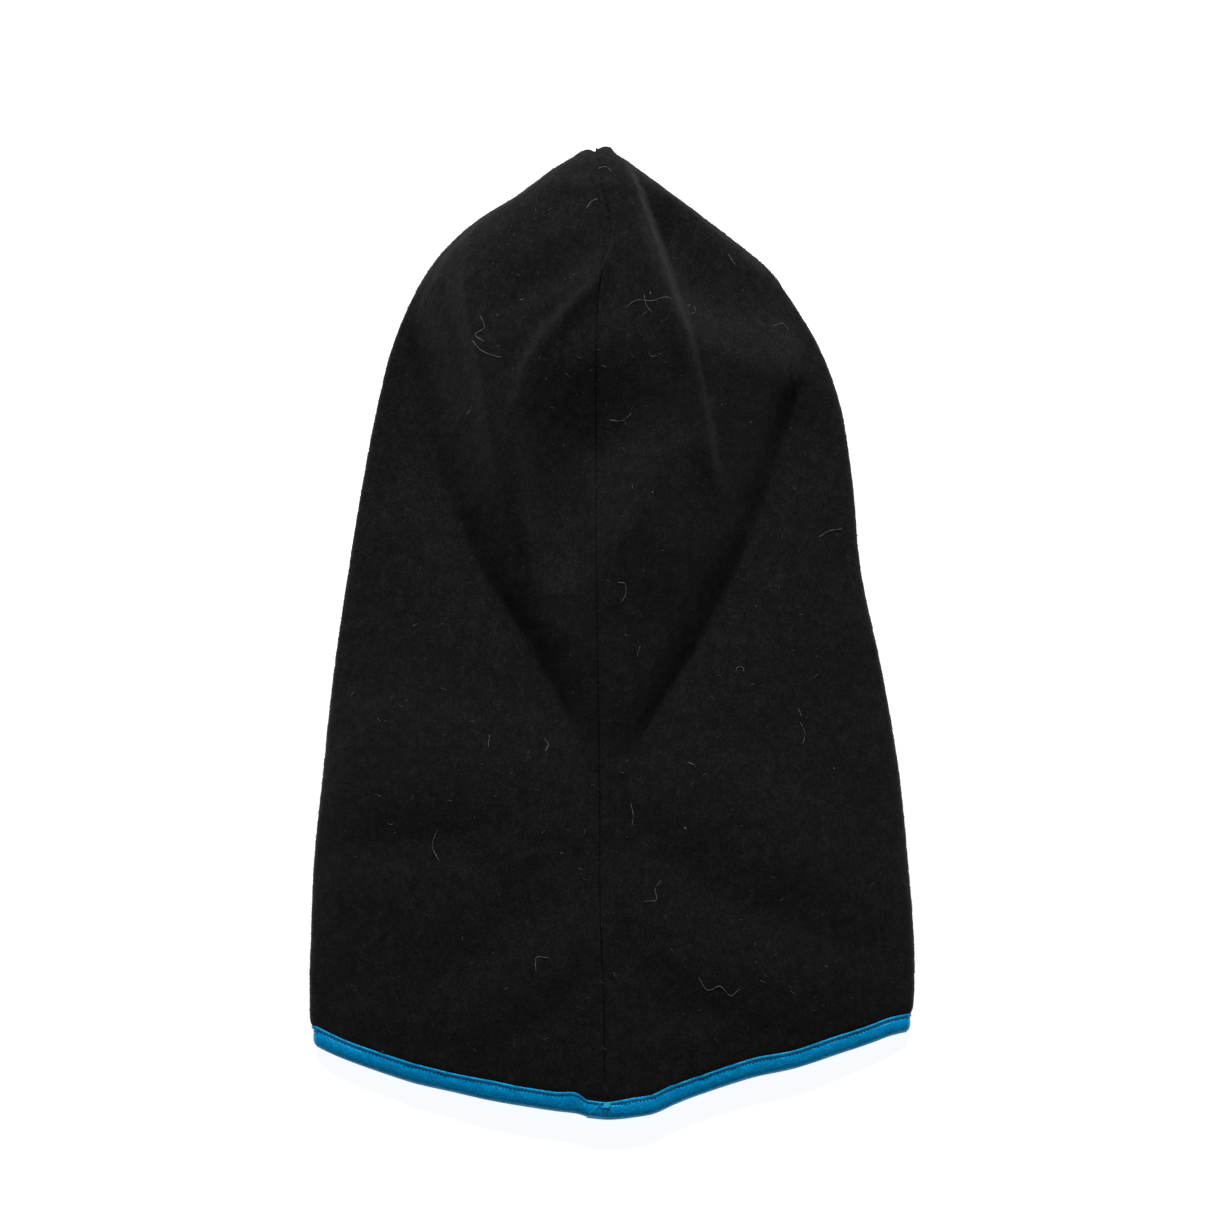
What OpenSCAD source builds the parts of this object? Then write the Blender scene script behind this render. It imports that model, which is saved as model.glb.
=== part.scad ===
// Fleece balaclava, laid flat on its front with the back of the hood upwards.
// Two panels wrap round the side folds and are sewn edge to edge down the middle. A folded
// tape binds the neck hem and another binds the face opening.
// +Y runs from the neck to the crown, +X is the wearer's right, +Z is up. Millimetres.

/* [Hood] */
// Length from the lowest point of the back hem to the crown
hood_length = 430; // [380:1:470]
// Width across the side folds at the neck
hood_width = 268; // [235:1:290]
// Thickness of the fleece
fleece_t = 2.6; // [1.8:0.1:3]
// Height of the outside above the floor where the hood stands highest
crown_loft = 32; // [28:1:40]
// Height of the outside above the floor at the neck hem
neck_loft = 19; // [18:1:26]
// How far the back hem drops below the side folds
back_drop = 37; // [20:1:50]
// How far the front hem drops below the side folds
front_drop = 22; // [10:1:36]

/* [Face opening] */
// Width of the opening
face_w = 125; // [100:1:135]
// Height of the opening
face_h = 150; // [110:1:160]
// Distance of the opening's centre above the middle of the hood
face_y = 50; // [40:1:60]

/* [Sewing] */
// Finished width of the folded binding
binding_w = 8; // [7:0.5:10]
// Thickness of the binding tape
tape_t = 0.6; // [0.5:0.1:0.8]
// Distance of the stitch line from the binding's inner edge
stitch_in = 1.8; // [1.5:0.1:3]
// Thickness of the sewing thread
thread_t = 0.4; // [0.3:0.05:0.45]
// Depth of the seam allowance inside the hood
allowance = 5; // [3:0.5:6]
// Length of one zigzag of the overlock thread
overlock_pitch = 5; // [4:0.5:8]

/* [Hidden] */

fleece = [0.10, 0.10, 0.10];
tape = [0.05, 0.39, 0.56];
blue_thread = [0.04, 0.30, 0.45];
black_thread = [0.16, 0.16, 0.16];

// The seam runs a little left of the middle, because the hood lies slightly turned.
seam_x = -4 * hood_width / 268;
y_crown = hood_length / 2;
// The panels' hem edge at the side folds. Every row of the shell is counted up from it.
y_side = -hood_length / 2 + back_drop + tape_t;
e_crown = y_crown - y_side;
// Within this height above the hem the rows change from the hem's curve to straight.
drop_reach = 92;
fold_z = 4.5;
dome_power = 2.8;
// Share of the underside, out from the seam, that lies flat on the floor
flat_share = 0.85;
col_step = 7.5;
rows_up = 26;
first_row = 16;
crown_wall = 5;
nose = 0.05;
label_size = [30, 22, 0.5];
label_y = -148;

// Half widths either side of the seam: distance below the crown, left, right
WIDTHS = [
    [0, 3, 3], [4, 13, 9], [11, 23, 17], [22, 39, 33], [44, 68, 61], [66, 84, 82],
    [110, 98, 105], [165, 108, 112], [254, 121, 128], [342, 129, 137], [392, 130, 138]
];
// Loft as a share of the crown's: distance below the crown, share
LOFTS = [[0, 0.26], [11, 0.5], [44, 0.82], [90, 1], [150, 0.96], [220, 0.8]];

// ---- Curves -------------------------------------------------------------------------

// Index of the station at or below v
function span_at(list, v, i = 0) =
    (i >= len(list) - 2 || v < list[i + 1][0]) ? i : span_at(list, v, i + 1);
// Slope through the neighbours of station i
function slope_at(list, i, c) =
    let (a = max(i - 1, 0), b = min(i + 1, len(list) - 1))
    (list[b][c] - list[a][c]) / (list[b][0] - list[a][0]);
// Smooth curve through column c of the stations, one cubic between each two of them
function smooth_at(list, v, c) =
    let (
        i = span_at(list, v),
        step = list[i + 1][0] - list[i][0],
        s = min(max((v - list[i][0]) / step, 0), 1),
        ma = slope_at(list, i, c) * step,
        mb = slope_at(list, i + 1, c) * step
    )
    (2 * s^3 - 3 * s^2 + 1) * list[i][c] + (s^3 - 2 * s^2 + s) * ma
    + (3 * s^2 - 2 * s^3) * list[i + 1][c] + (s^3 - s^2) * mb;
function ease(s) = let (c = min(max(s, 0), 1)) c * c * (3 - 2 * c);

// Distance below the crown, on the scale of the tables
function below_crown(e) = (e_crown - e) * 430 / hood_length;
function half_width(side, e) =
    smooth_at(WIDTHS, below_crown(e), side < 0 ? 1 : 2) * hood_width / 268;
// The loft eases from the crown's table to the neck's height over the lower half.
function loft(e) =
    let (d = below_crown(e), s = ease((d - 150) / 240))
    smooth_at(LOFTS, min(d, 220), 1) * crown_loft * (1 - s) + neck_loft * s;
// The hem's drop fades out upwards, and the drop is greatest at the middle.
function row_y(e, across, top) =
    let (drop = top ? back_drop : front_drop)
    y_side + e - drop * cos(90 * across) * (1 - ease((e - binding_w) / drop_reach));

// A point in the fleece: side is -1 or 1, a runs from 0 at the centre back over the side
// fold at 90 to 180 at the centre front, e is the row and depth is measured inwards. gap is
// how far the inner face stands off the seam.
function skin(side, a, e, depth, gap) =
    let (
        across = sin(a),
        top = a <= 90,
        w = half_width(side, e),
        h = loft(e),
        dome = sqrt(max(0, 1 - pow(across, dome_power))),
        k = min(1, max(0, (across - flat_share) / (1 - flat_share))),
        curl = 1 - sqrt(1 - k * k),
        x_out = w * across,
        x_in = gap + (w - fleece_t - gap) * across,
        z_out = top ? fold_z + (h - fold_z) * dome : fold_z * curl,
        z_in = top ? fold_z + (h - fleece_t - fold_z) * dome
            : fleece_t + (fold_z - fleece_t) * curl,
        f = depth / fleece_t
    )
    [seam_x + side * (x_out + (x_in - x_out) * f), row_y(e, across, top), z_out + (z_in - z_out) * f];

// Depth of the allowance at a row: short where the binding grips it and at the crown
function allowance_at(e) =
    nose + (allowance - nose) * ease((e - binding_w) / 8)
    - (allowance - 2) * ease((e - e_crown + 34) / 24);
// Inner face of the hood at the seam: [y, z]
function seam_back(e) = let (p = skin(1, 0, e, fleece_t, 0)) [p.y, p.z];
function seam_front(e) = let (p = skin(1, 180, e, fleece_t, 0)) [p.y, p.z];

// ---- Skins --------------------------------------------------------------------------

function quad(a, b, c, d) = [[a, b, c], [a, c, d]];
function two_way(faces, turned) = turned ? [for (f = faces) [f[2], f[1], f[0]]] : faces;

// A tube through rings of equal length. A closed one joins its last ring to its first.
module tube(rings, closed = false, turned = false) {
    n = len(rings);
    m = len(rings[0]);
    last = closed ? n - 1 : n - 2;
    sides = [
        for (i = [0:last], k = [0:m - 1])
            each quad(
                i * m + k, i * m + (k + 1) % m,
                ((i + 1) % n) * m + (k + 1) % m, ((i + 1) % n) * m + k
            )
    ];
    ends = closed ? [] : [
        for (k = [1:m - 2])
            each [[0, k + 1, k], [(n - 1) * m, (n - 1) * m + k, (n - 1) * m + k + 1]]
    ];
    polyhedron([for (r = rings) each r], two_way(concat(sides, ends), turned));
}

// One fleece panel, from its allowance at the centre back round the side fold to its
// allowance at the centre front, closed at the crown. The rows inside the hem binding are
// thinner by the tape on each face.
module panel_shell(side) {
    rows = concat(
        [0, binding_w, binding_w + 0.01],
        [for (i = [0:rows_up]) first_row + (e_crown - crown_wall - first_row) * sin(90 * i / rows_up)]
    );
    angles = [for (a = [0:col_step:180]) a];
    n = len(rows);
    m = len(angles) + 2;
    fold = (len(angles) + 1) / 2;
    // Each row holds m outer points and then m inner points.
    points = [
        for (i = [0:n - 1])
            let (
                e = rows[i],
                inset = i < 2 ? tape_t : 0,
                out = [for (a = angles) skin(side, a, e, inset, fleece_t)],
                in = [for (a = angles) skin(side, a, e, fleece_t - inset, fleece_t)],
                back_z = in[0].z - allowance_at(e),
                front_z = in[len(in) - 1].z + allowance_at(e),
                back_y = in[0].y,
                front_y = in[len(in) - 1].y,
                flange_x = seam_x + side * fleece_t
            )
            each concat(
                [[seam_x, back_y, back_z]], out, [[seam_x, front_y, front_z]],
                [[flange_x, back_y, back_z]], in, [[flange_x, front_y, front_z]]
            ),
        for (a = angles) skin(side, a, e_crown, 0, fleece_t)
    ];
    tip = n * 2 * m;
    last = n - 1;
    // Indices of the outer and inner points of a row, and of the points of the crown's end
    function outer_at(i, j) = i * 2 * m + j;
    function inner_at(i, j) = i * 2 * m + m + j;
    function tip_at(j) = tip + j - 1;
    outer_faces = [
        for (i = [0:last - 1], j = [0:m - 2])
            each quad(outer_at(i, j), outer_at(i, j + 1), outer_at(i + 1, j + 1), outer_at(i + 1, j))
    ];
    crown_faces = [
        for (j = [1:m - 3])
            each quad(outer_at(last, j), outer_at(last, j + 1), tip_at(j + 1), tip_at(j))
    ];
    inner_faces = [
        for (i = [0:last - 1], j = [0:m - 2])
            each quad(inner_at(i, j), inner_at(i + 1, j), inner_at(i + 1, j + 1), inner_at(i, j + 1))
    ];
    back_edge = [
        for (i = [0:last - 1])
            each quad(outer_at(i, 0), outer_at(i + 1, 0), inner_at(i + 1, 0), inner_at(i, 0))
    ];
    front_edge = [
        for (i = [0:last - 1])
            each quad(
                outer_at(i, m - 1), inner_at(i, m - 1),
                inner_at(i + 1, m - 1), outer_at(i + 1, m - 1)
            )
    ];
    hem_edge = [
        for (j = [0:m - 2])
            each quad(outer_at(0, j), inner_at(0, j), inner_at(0, j + 1), outer_at(0, j + 1))
    ];
    tip_faces = [for (j = [2:m - 3]) [tip_at(1), tip_at(j), tip_at(j + 1)]];
    ceiling_faces = [
        for (j = [0:m - 2])
            if (j != fold && j + 1 != fold)
                [inner_at(last, fold), inner_at(last, j + 1), inner_at(last, j)]
    ];
    closing_faces = concat(
        [[inner_at(last, fold), inner_at(last, 0), inner_at(last, m - 1)]],
        quad(outer_at(last, 0), outer_at(last, m - 1), inner_at(last, m - 1), inner_at(last, 0)),
        [
            [tip_at(1), tip_at(m - 2), outer_at(last, m - 2)],
            [tip_at(1), outer_at(last, m - 2), outer_at(last, m - 1)],
            [tip_at(1), outer_at(last, m - 1), outer_at(last, 0)],
            [tip_at(1), outer_at(last, 0), outer_at(last, 1)]
        ]
    );
    faces = concat(
        outer_faces, crown_faces, inner_faces, back_edge, front_edge, hem_edge, tip_faces,
        ceiling_faces, closing_faces
    );
    polyhedron(points, two_way(faces, side > 0));
}

// Plan of the face opening grown by d: an oval, a little narrower towards the chin
module face_plan(d) {
    translate([seam_x, face_y])
        polygon([
            for (a = [0:5:355])
                [(face_w / 2 + d) * cos(a) * (1 + 0.06 * sin(a)), (face_h / 2 + d) * sin(a)]
        ]);
}

// A flat ring round the face opening, from d1 to d2 outside its edge and z1 to z2 in height
module face_ring(d1, d2, z1, z2) {
    translate([0, 0, z1]) linear_extrude(z2 - z1) difference() {
        face_plan(d2);
        face_plan(d1);
    }
}

module panel(side) {
    difference() {
        panel_shell(side);
        // The opening, and the seats of the tape on both faces
        translate([0, 0, -1]) linear_extrude(allowance + fleece_t + 2) face_plan(tape_t);
        translate([0, 0, -1]) linear_extrude(1 + tape_t) face_plan(binding_w);
        translate([0, 0, fleece_t - tape_t]) linear_extrude(allowance + 1.5) face_plan(binding_w);
    }
}

// Stations once round the neck: left side from back to front, then right side back again
function neck_stations() = concat(
    [for (a = [0:col_step:180]) [-1, a]],
    [for (a = [180 - col_step:-col_step:col_step]) [1, a]]
);
// A ring of [row, depth] corners carried once round the neck
function neck_rings(corners) = [
    for (s = neck_stations())
        [for (c = corners) skin(s[0], s[1], c[0], c[1], s[1] == 0 || s[1] == 180 ? 0 : fleece_t)]
];

stitch_e = binding_w - stitch_in;
// Corners of the thread that lies in the groove at depth d
function thread_corners(d) = [
    [stitch_e - thread_t / 2, d], [stitch_e + thread_t / 2, d],
    [stitch_e + thread_t / 2, d + thread_t], [stitch_e - thread_t / 2, d + thread_t]
];
deep = fleece_t - thread_t;

// ---- Pieces -------------------------------------------------------------------------

module left_panel() {
    color(fleece) panel(-1);
}

module right_panel() {
    color(fleece) panel(1);
}

// The tape is folded over the hem, and the stitches sink into a groove on each face.
module hem_binding() {
    outer = thread_corners(0);
    inner = thread_corners(deep);
    profile = [
        [-tape_t, 0], outer[0], outer[3], outer[2], outer[1], [binding_w, 0],
        [binding_w, tape_t], [0, tape_t], [0, fleece_t - tape_t], [binding_w, fleece_t - tape_t],
        [binding_w, fleece_t], inner[2], inner[1], inner[0], inner[3], [-tape_t, fleece_t]
    ];
    color(tape) tube(neck_rings(profile), closed = true);
}

module face_binding() {
    color(tape) difference() {
        face_ring(0, binding_w, 0, fleece_t);
        face_ring(tape_t, binding_w + 1, tape_t, fleece_t - tape_t);
        face_ring(stitch_e - thread_t / 2, stitch_e + thread_t / 2, -1, thread_t);
        face_ring(stitch_e - thread_t / 2, stitch_e + thread_t / 2, deep, fleece_t + 1);
    }
}

module hem_needle_thread() {
    color(blue_thread) tube(neck_rings(thread_corners(0)), closed = true);
}

module hem_bobbin_thread() {
    color(blue_thread) tube(neck_rings(thread_corners(deep)), closed = true);
}

module face_needle_thread() {
    color(blue_thread) face_ring(stitch_e - thread_t / 2, stitch_e + thread_t / 2, 0, thread_t);
}

module face_bobbin_thread() {
    color(blue_thread) face_ring(stitch_e - thread_t / 2, stitch_e + thread_t / 2, deep, fleece_t);
}

// Rows at which the seams start and end, clear of the bindings and the crown's end wall
seam_low = binding_w + 9;
seam_high = e_crown - crown_wall - 4;
forehead_low = face_y + face_h / 2 + binding_w + 3 - y_side;
chin_high = face_y - face_h / 2 - binding_w - 3 - y_side;

// A straight needle thread beside the left allowance, drop below the hood's inner face
module seam_needle(e1, e2, back) {
    steps = ceil((e2 - e1) / 9);
    tube([
        for (i = [0:steps])
            let (
                e = e1 + (e2 - e1) * i / steps,
                s = back ? seam_back(e) : seam_front(e),
                z = s[1] + (back ? -1.4 : 1.4),
                x = seam_x - fleece_t
            )
            [
                [x - thread_t, s[0], z - thread_t / 2], [x, s[0], z - thread_t / 2],
                [x, s[0], z + thread_t / 2], [x - thread_t, s[0], z + thread_t / 2]
            ]
    ]);
}

// An overlock thread that zigzags over the cut edges of both allowances. Its corners lie in
// planes across the seam, so they are wider there than the thread is thick.
module seam_looper(e1, e2, back) {
    steps = floor((e2 - e1) / overlock_pitch * 2);
    half = thread_t / 2;
    slant = fleece_t * 4 / overlock_pitch;
    wide = half * sqrt(1 + slant * slant);
    tube([
        for (i = [0:steps])
            let (
                e = e1 + overlock_pitch / 2 * i,
                s = back ? seam_back(e) : seam_front(e),
                reach = allowance_at(e) + half,
                z = s[1] + (back ? -reach : reach),
                x = seam_x + (i % 2 == 0 ? -fleece_t : fleece_t)
            )
            [
                [x - wide, s[0], z - half], [x + wide, s[0], z - half],
                [x + wide, s[0], z + half], [x - wide, s[0], z + half]
            ]
    ]);
}

module back_seam_needle_thread() {
    color(black_thread) {
        seam_needle(seam_low, seam_high, true);
        seam_needle(forehead_low, seam_high, false);
    }
}

module back_seam_looper_thread() {
    color(black_thread) {
        seam_looper(seam_low, seam_high, true);
        seam_looper(forehead_low, seam_high, false);
    }
}

module chin_seam_needle_thread() {
    color(black_thread) seam_needle(seam_low, chin_high, false);
}

module chin_seam_looper_thread() {
    color(black_thread) seam_looper(seam_low, chin_high, false);
}

// Short stitches side by side that tack down the lapped end of a binding
module bartack(count, reach, spacing) {
    for (i = [0:count - 1])
        translate([(i - (count - 1) / 2) * spacing, -reach / 2, 0])
            rotate([-90, 0, 0]) cylinder(h = reach, d = thread_t, $fn = 16);
}

module hem_join_bartack() {
    back = skin(1, 0, 0, 0, 0);
    color(blue_thread)
        translate([seam_x, back.y + binding_w / 2, back.z + thread_t / 2])
            bartack(5, binding_w - 2, 0.9);
}

module face_join_bartack() {
    color(blue_thread)
        translate([seam_x, face_y - face_h / 2 - binding_w / 2, fleece_t + thread_t / 2])
            bartack(5, binding_w - 2, 0.9);
}

// A blank label sewn into the left allowance of the back seam
module care_label() {
    e = label_y - y_side + back_drop * 0.35;
    color("white")
        translate([seam_x - fleece_t - label_size.x, label_y, seam_back(e)[1] - allowance + 0.5])
            cube(label_size);
}

left_panel();
right_panel();
hem_binding();
face_binding();
hem_needle_thread();
hem_bobbin_thread();
face_needle_thread();
face_bobbin_thread();
back_seam_needle_thread();
back_seam_looper_thread();
chin_seam_needle_thread();
chin_seam_looper_thread();
hem_join_bartack();
face_join_bartack();
care_label();
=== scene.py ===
"""Fleece balaclava laid flat on its front, with its back up.

Two fleece panels wrap round the side folds and meet in a seam down the middle. A folded blue tape
binds the neck hem and another binds the face opening. Lengths inside the classes are millimetres,
and meshes are written in metres. +Y is the crown, +X the wearer's right, +Z up.
"""

import logging
import math
from dataclasses import dataclass, field
from enum import Enum
from typing import Callable, Optional, Sequence

import bpy
import numpy as np
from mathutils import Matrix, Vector

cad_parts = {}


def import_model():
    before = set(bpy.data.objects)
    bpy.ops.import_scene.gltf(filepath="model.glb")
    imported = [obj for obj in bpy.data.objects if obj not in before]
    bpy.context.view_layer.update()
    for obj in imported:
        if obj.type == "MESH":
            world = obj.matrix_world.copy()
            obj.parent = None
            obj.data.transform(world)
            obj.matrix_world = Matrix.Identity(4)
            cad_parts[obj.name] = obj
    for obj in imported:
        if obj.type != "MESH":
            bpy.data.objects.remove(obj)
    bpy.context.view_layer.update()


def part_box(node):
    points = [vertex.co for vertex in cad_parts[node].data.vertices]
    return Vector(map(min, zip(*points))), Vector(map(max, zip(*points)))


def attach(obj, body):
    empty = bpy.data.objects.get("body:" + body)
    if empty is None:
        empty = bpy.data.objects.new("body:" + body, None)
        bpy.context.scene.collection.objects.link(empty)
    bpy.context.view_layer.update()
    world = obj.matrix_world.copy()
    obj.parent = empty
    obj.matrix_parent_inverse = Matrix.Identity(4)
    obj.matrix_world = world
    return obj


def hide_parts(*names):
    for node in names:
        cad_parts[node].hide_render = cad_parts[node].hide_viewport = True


LOG = logging.getLogger("balaclava")
MM = 0.001
BODY = "root"
Array = np.ndarray
Colour = tuple[float, float, float, float]
# A mesh's points, quads and triangles
Parts = tuple[Array, Array, Array]


# ---- Curves and noise ------------------------------------------------------------------------


def ease(s: Array) -> Array:
    """Smooth step: 0 below 0, 1 above 1, and 3s^2 - 2s^3 between."""
    c = np.clip(s, 0.0, 1.0)
    return c * c * (3.0 - 2.0 * c)


def unit(v: Array) -> Array:
    """Vectors along the last axis, scaled to length 1."""
    return v / np.maximum(np.linalg.norm(v, axis=-1, keepdims=True), 1e-9)


def smooth(stations: Sequence[Sequence[float]], at: Array, column: int = 1) -> Array:
    """Cubic curve through stations, with slopes from each station's neighbours.

    Args:
        stations: rows of position and values, positions rising.
        at: positions to read the curve at; beyond the ends the end value holds.
        column: which value of the rows to follow.

    Returns:
        The curve's values, shaped as at.
    """
    table = np.asarray(stations, float)
    x, y = table[:, 0], table[:, column]
    slope = np.gradient(y, x)
    i = np.clip(np.searchsorted(x, at) - 1, 0, len(x) - 2)
    h = x[i + 1] - x[i]
    s = np.clip((at - x[i]) / h, 0.0, 1.0)
    near = (2 * s**3 - 3 * s**2 + 1) * y[i] + (s**3 - 2 * s**2 + s) * h * slope[i]
    far = (3 * s**2 - 2 * s**3) * y[i + 1] + (s**3 - s**2) * h * slope[i + 1]
    return near + far


def curve_through(points: Sequence[Sequence[float]], count: int) -> Array:
    """Evenly counted points on the cubic curve through the given rows, by length in their first
    two columns.

    Args:
        points: rows that start with a place's two values.
        count: how many points.

    Returns:
        The points, with the rows' other values carried along.
    """
    p = np.asarray(points, float)
    along = np.concatenate([[0.0], np.cumsum(np.linalg.norm(np.diff(p[:, :2], axis=0), axis=1))])
    at = np.linspace(0.0, along[-1], count)
    return np.stack(
        [smooth(np.stack([along, p[:, k]], axis=1), at) for k in range(p.shape[1])], axis=1
    )


def value_noise(a: Array, b: Array, cell: float, seed: int, size: int = 192) -> Array:
    """Noise from -1 to 1: random values on a square lattice, blended with a smooth step.

    Args:
        a: first coordinate, in millimetres.
        b: second coordinate, in millimetres.
        cell: lattice spacing, in millimetres.
        seed: which lattice.
        size: lattice points each way before it repeats.

    Returns:
        Noise values, shaped as a and b together.
    """
    lattice = np.random.default_rng(seed).uniform(-1.0, 1.0, (size, size))
    p, q = np.broadcast_arrays(a / cell, b / cell)
    i, j = np.floor(p).astype(int), np.floor(q).astype(int)
    f, g = ease(p - i), ease(q - j)
    i, j, i1, j1 = i % size, j % size, (i + 1) % size, (j + 1) % size
    low = lattice[i, j] * (1 - f) + lattice[i1, j] * f
    high = lattice[i, j1] * (1 - f) + lattice[i1, j1] * f
    return low * (1 - g) + high * g


# ---- Meshes ----------------------------------------------------------------------------------


def quads_of_grid(rows: int, cols: int, start: int = 0, wrap: bool = False) -> Array:
    """Quads of a grid whose points run row by row.

    Args:
        rows: rows of points.
        cols: points in a row.
        start: index of the grid's first point.
        wrap: whether each row closes on its own first point.

    Returns:
        One row of four indices for each quad, turning from columns to rows.
    """
    i, j = np.meshgrid(np.arange(rows - 1), np.arange(cols if wrap else cols - 1), indexing="ij")
    k = (j + 1) % cols
    a, b, c, d = i * cols + j, i * cols + k, (i + 1) * cols + k, (i + 1) * cols + j
    return start + np.stack([a, b, c, d], axis=-1).reshape(-1, 4)


def strip_between(one: Array, two: Array) -> Array:
    """Quads between two lines of indices of equal length."""
    return np.stack([one[:-1], one[1:], two[1:], two[:-1]], axis=1)


def zip_between(one: Array, two: Array) -> Array:
    """Triangles between two lines of indices of any lengths, taking their steps in order.

    Args:
        one: indices along the first line.
        two: indices along the second.

    Returns:
        Three indices a row.
    """
    a, b = len(one) - 1, len(two) - 1
    order = np.argsort(np.concatenate([(np.arange(a) + 0.5) / a, (np.arange(b) + 0.5) / b]))
    first = order < a
    k = np.cumsum(first) - first
    m = np.cumsum(~first) - ~first
    steps_one = np.stack([one[k], one[np.minimum(k + 1, a)], two[m]], axis=1)
    steps_two = np.stack([one[k], two[np.minimum(m + 1, b)], two[m]], axis=1)
    return np.where(first[:, None], steps_one, steps_two)


def enclosed(points: Array, quads: Array, triangles: Array) -> float:
    """Volume inside the faces, a third of the sum of p0 . (p1 x p2) / 2 over their triangles.

    Args:
        points: the mesh's points.
        quads: four indices a row.
        triangles: three indices a row.

    Returns:
        The volume, negative where the faces point inwards.
    """
    tris = np.concatenate([quads[:, [0, 1, 2]], quads[:, [0, 2, 3]], triangles])
    a, b, c = (points[tris[:, k]] for k in range(3))
    return float(np.einsum("ij,ij->", a, np.cross(b, c)) / 6)


def write_mesh(
    name: str,
    points: Array,
    quads: Array,
    triangles: Optional[Array] = None,
    uv: Optional[Array] = None,
) -> bpy.types.Object:
    """Makes a mesh object at the origin from points in millimetres.

    Args:
        name: the object's name.
        points: the points, one row each.
        quads: four indices a row, facing outwards.
        triangles: three indices a row, facing outwards.
        uv: a map's two values for each point.

    Returns:
        The new object, shaded smooth.
    """
    triangles = np.zeros((0, 3), int) if triangles is None else triangles
    if enclosed(points, quads, triangles) < 0:
        quads, triangles = quads[:, ::-1], triangles[:, ::-1]
    loops = np.concatenate([quads.ravel(), triangles.ravel()]).astype(np.int32)
    totals = np.concatenate([np.full(len(quads), 4), np.full(len(triangles), 3)]).astype(np.int32)
    starts = np.concatenate([[0], np.cumsum(totals)[:-1]]).astype(np.int32)
    mesh = bpy.data.meshes.new(name)
    mesh.vertices.add(len(points))
    mesh.vertices.foreach_set("co", (points * MM).astype(np.float32).ravel())
    mesh.loops.add(len(loops))
    mesh.loops.foreach_set("vertex_index", loops)
    mesh.polygons.add(len(totals))
    mesh.polygons.foreach_set("loop_start", starts)
    mesh.polygons.foreach_set("loop_total", totals)
    mesh.polygons.foreach_set("use_smooth", np.ones(len(totals), bool))
    if uv is not None:
        layer = mesh.uv_layers.new(name="Along")
        layer.data.foreach_set("uv", uv[loops].astype(np.float32).ravel())
    mesh.update(calc_edges=True)
    mesh.validate()
    obj = bpy.data.objects.new(name, mesh)
    bpy.context.scene.collection.objects.link(obj)
    return obj


def finish_piece(
    obj: bpy.types.Object, material: bpy.types.Material, replaced: Sequence[str] = ()
) -> bpy.types.Object:
    """Gives a piece its material, body and slot, and hides the nodes it stands for.

    Args:
        obj: the piece.
        material: its finish.
        replaced: the nodes that it stands for.

    Returns:
        The same piece.
    """
    obj.data.materials.append(material)
    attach(obj, BODY)
    if replaced:
        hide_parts(*replaced)
    LOG.info("%s: %d faces", obj.name, len(obj.data.polygons))
    return obj


def join_parts(*parts: Parts) -> Parts:
    """Several sets of points, quads and triangles as one.

    Args:
        parts: points, quads and triangles of each.

    Returns:
        All of them, with the indices moved on.
    """
    starts = np.cumsum([0] + [len(p[0]) for p in parts[:-1]])
    faces = (np.concatenate([p[k] + n for p, n in zip(parts, starts)]) for k in (1, 2))
    return (np.concatenate([p[0] for p in parts]), *faces)


def ring_directions(across: Array, up: Array, sides: int) -> Array:
    """Unit vectors from a ring's middle to its corners, on a new axis before the last."""
    a = np.arange(sides)[:, None] * 2 * np.pi / sides
    return np.cos(a) * across[..., None, :] + np.sin(a) * up[..., None, :]


def swept_faces(count: int, rings: int, sides: int) -> tuple[Array, Array]:
    """Faces of many tubes, stored one after another and ring by ring.

    Args:
        count: how many tubes.
        rings: rings in each.
        sides: corners of a ring.

    Returns:
        Quads along the tubes, and triangles that close their ends.
    """
    start = np.arange(count)[:, None, None] * rings * sides
    one = quads_of_grid(rings, sides, wrap=True)
    fan = np.stack([np.zeros(sides - 2, int), np.arange(2, sides), np.arange(1, sides - 1)], axis=1)
    caps = np.concatenate([fan, fan[:, ::-1] + (rings - 1) * sides])
    return (one[None] + start).reshape(-1, 4), (caps[None] + start).reshape(-1, 3)


def capsules(
    centres: Array, along: Array, up: Array, length: Array, radius: float, sides: int = 6
) -> Parts:
    """Many short threads with round ends, each a ring swept along its own axis.

    A ring's distance from the middle is x, and its radius is that of a half ellipse at the ends.

    Args:
        centres: middles of the threads.
        along: unit vectors along them.
        up: unit vectors away from the cloth.
        length: length of each.
        radius: radius of the thread.
        sides: corners of a ring.

    Returns:
        Points, quads and end triangles.
    """
    x = np.array([-0.5, -0.42, -0.2, 0.2, 0.42, 0.5])
    r = np.array([0.25, 0.75, 1.0, 1.0, 0.75, 0.25]) * radius
    across = unit(np.cross(up, along))
    up = unit(np.cross(along, across))
    ring = ring_directions(across, up, sides)[:, None]
    middle = centres[:, None, :] + along[:, None, :] * (length[:, None] * x)[:, :, None]
    points = middle[:, :, None, :] + ring * r[None, :, None, None]
    return (points.reshape(-1, 3), *swept_faces(len(centres), len(x), sides))


def tubes(paths: Array, radii: Array, sides: int = 4) -> Parts:
    """Many thin tubes, each with the same number of rings.

    Args:
        paths: an array of tube, ring and coordinate.
        radii: an array of tube and ring.
        sides: corners of a ring.

    Returns:
        Points, quads and end triangles.
    """
    forward = unit(np.gradient(paths, axis=1))
    guide = np.where(np.abs(forward[..., 2:3]) > 0.8, [1.0, 0.0, 0.0], [0.0, 0.0, 1.0])
    across = unit(np.cross(guide, forward))
    ring = ring_directions(across, np.cross(forward, across), sides)
    points = paths[:, :, None, :] + ring * radii[:, :, None, None]
    return (points.reshape(-1, 3), *swept_faces(*paths.shape[:2], sides))


# ---- Shape of the hood -----------------------------------------------------------------------


class Side(Enum):
    """The wearer's left or right half of the hood, valued by its direction along X."""

    LEFT = -1
    RIGHT = 1


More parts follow.
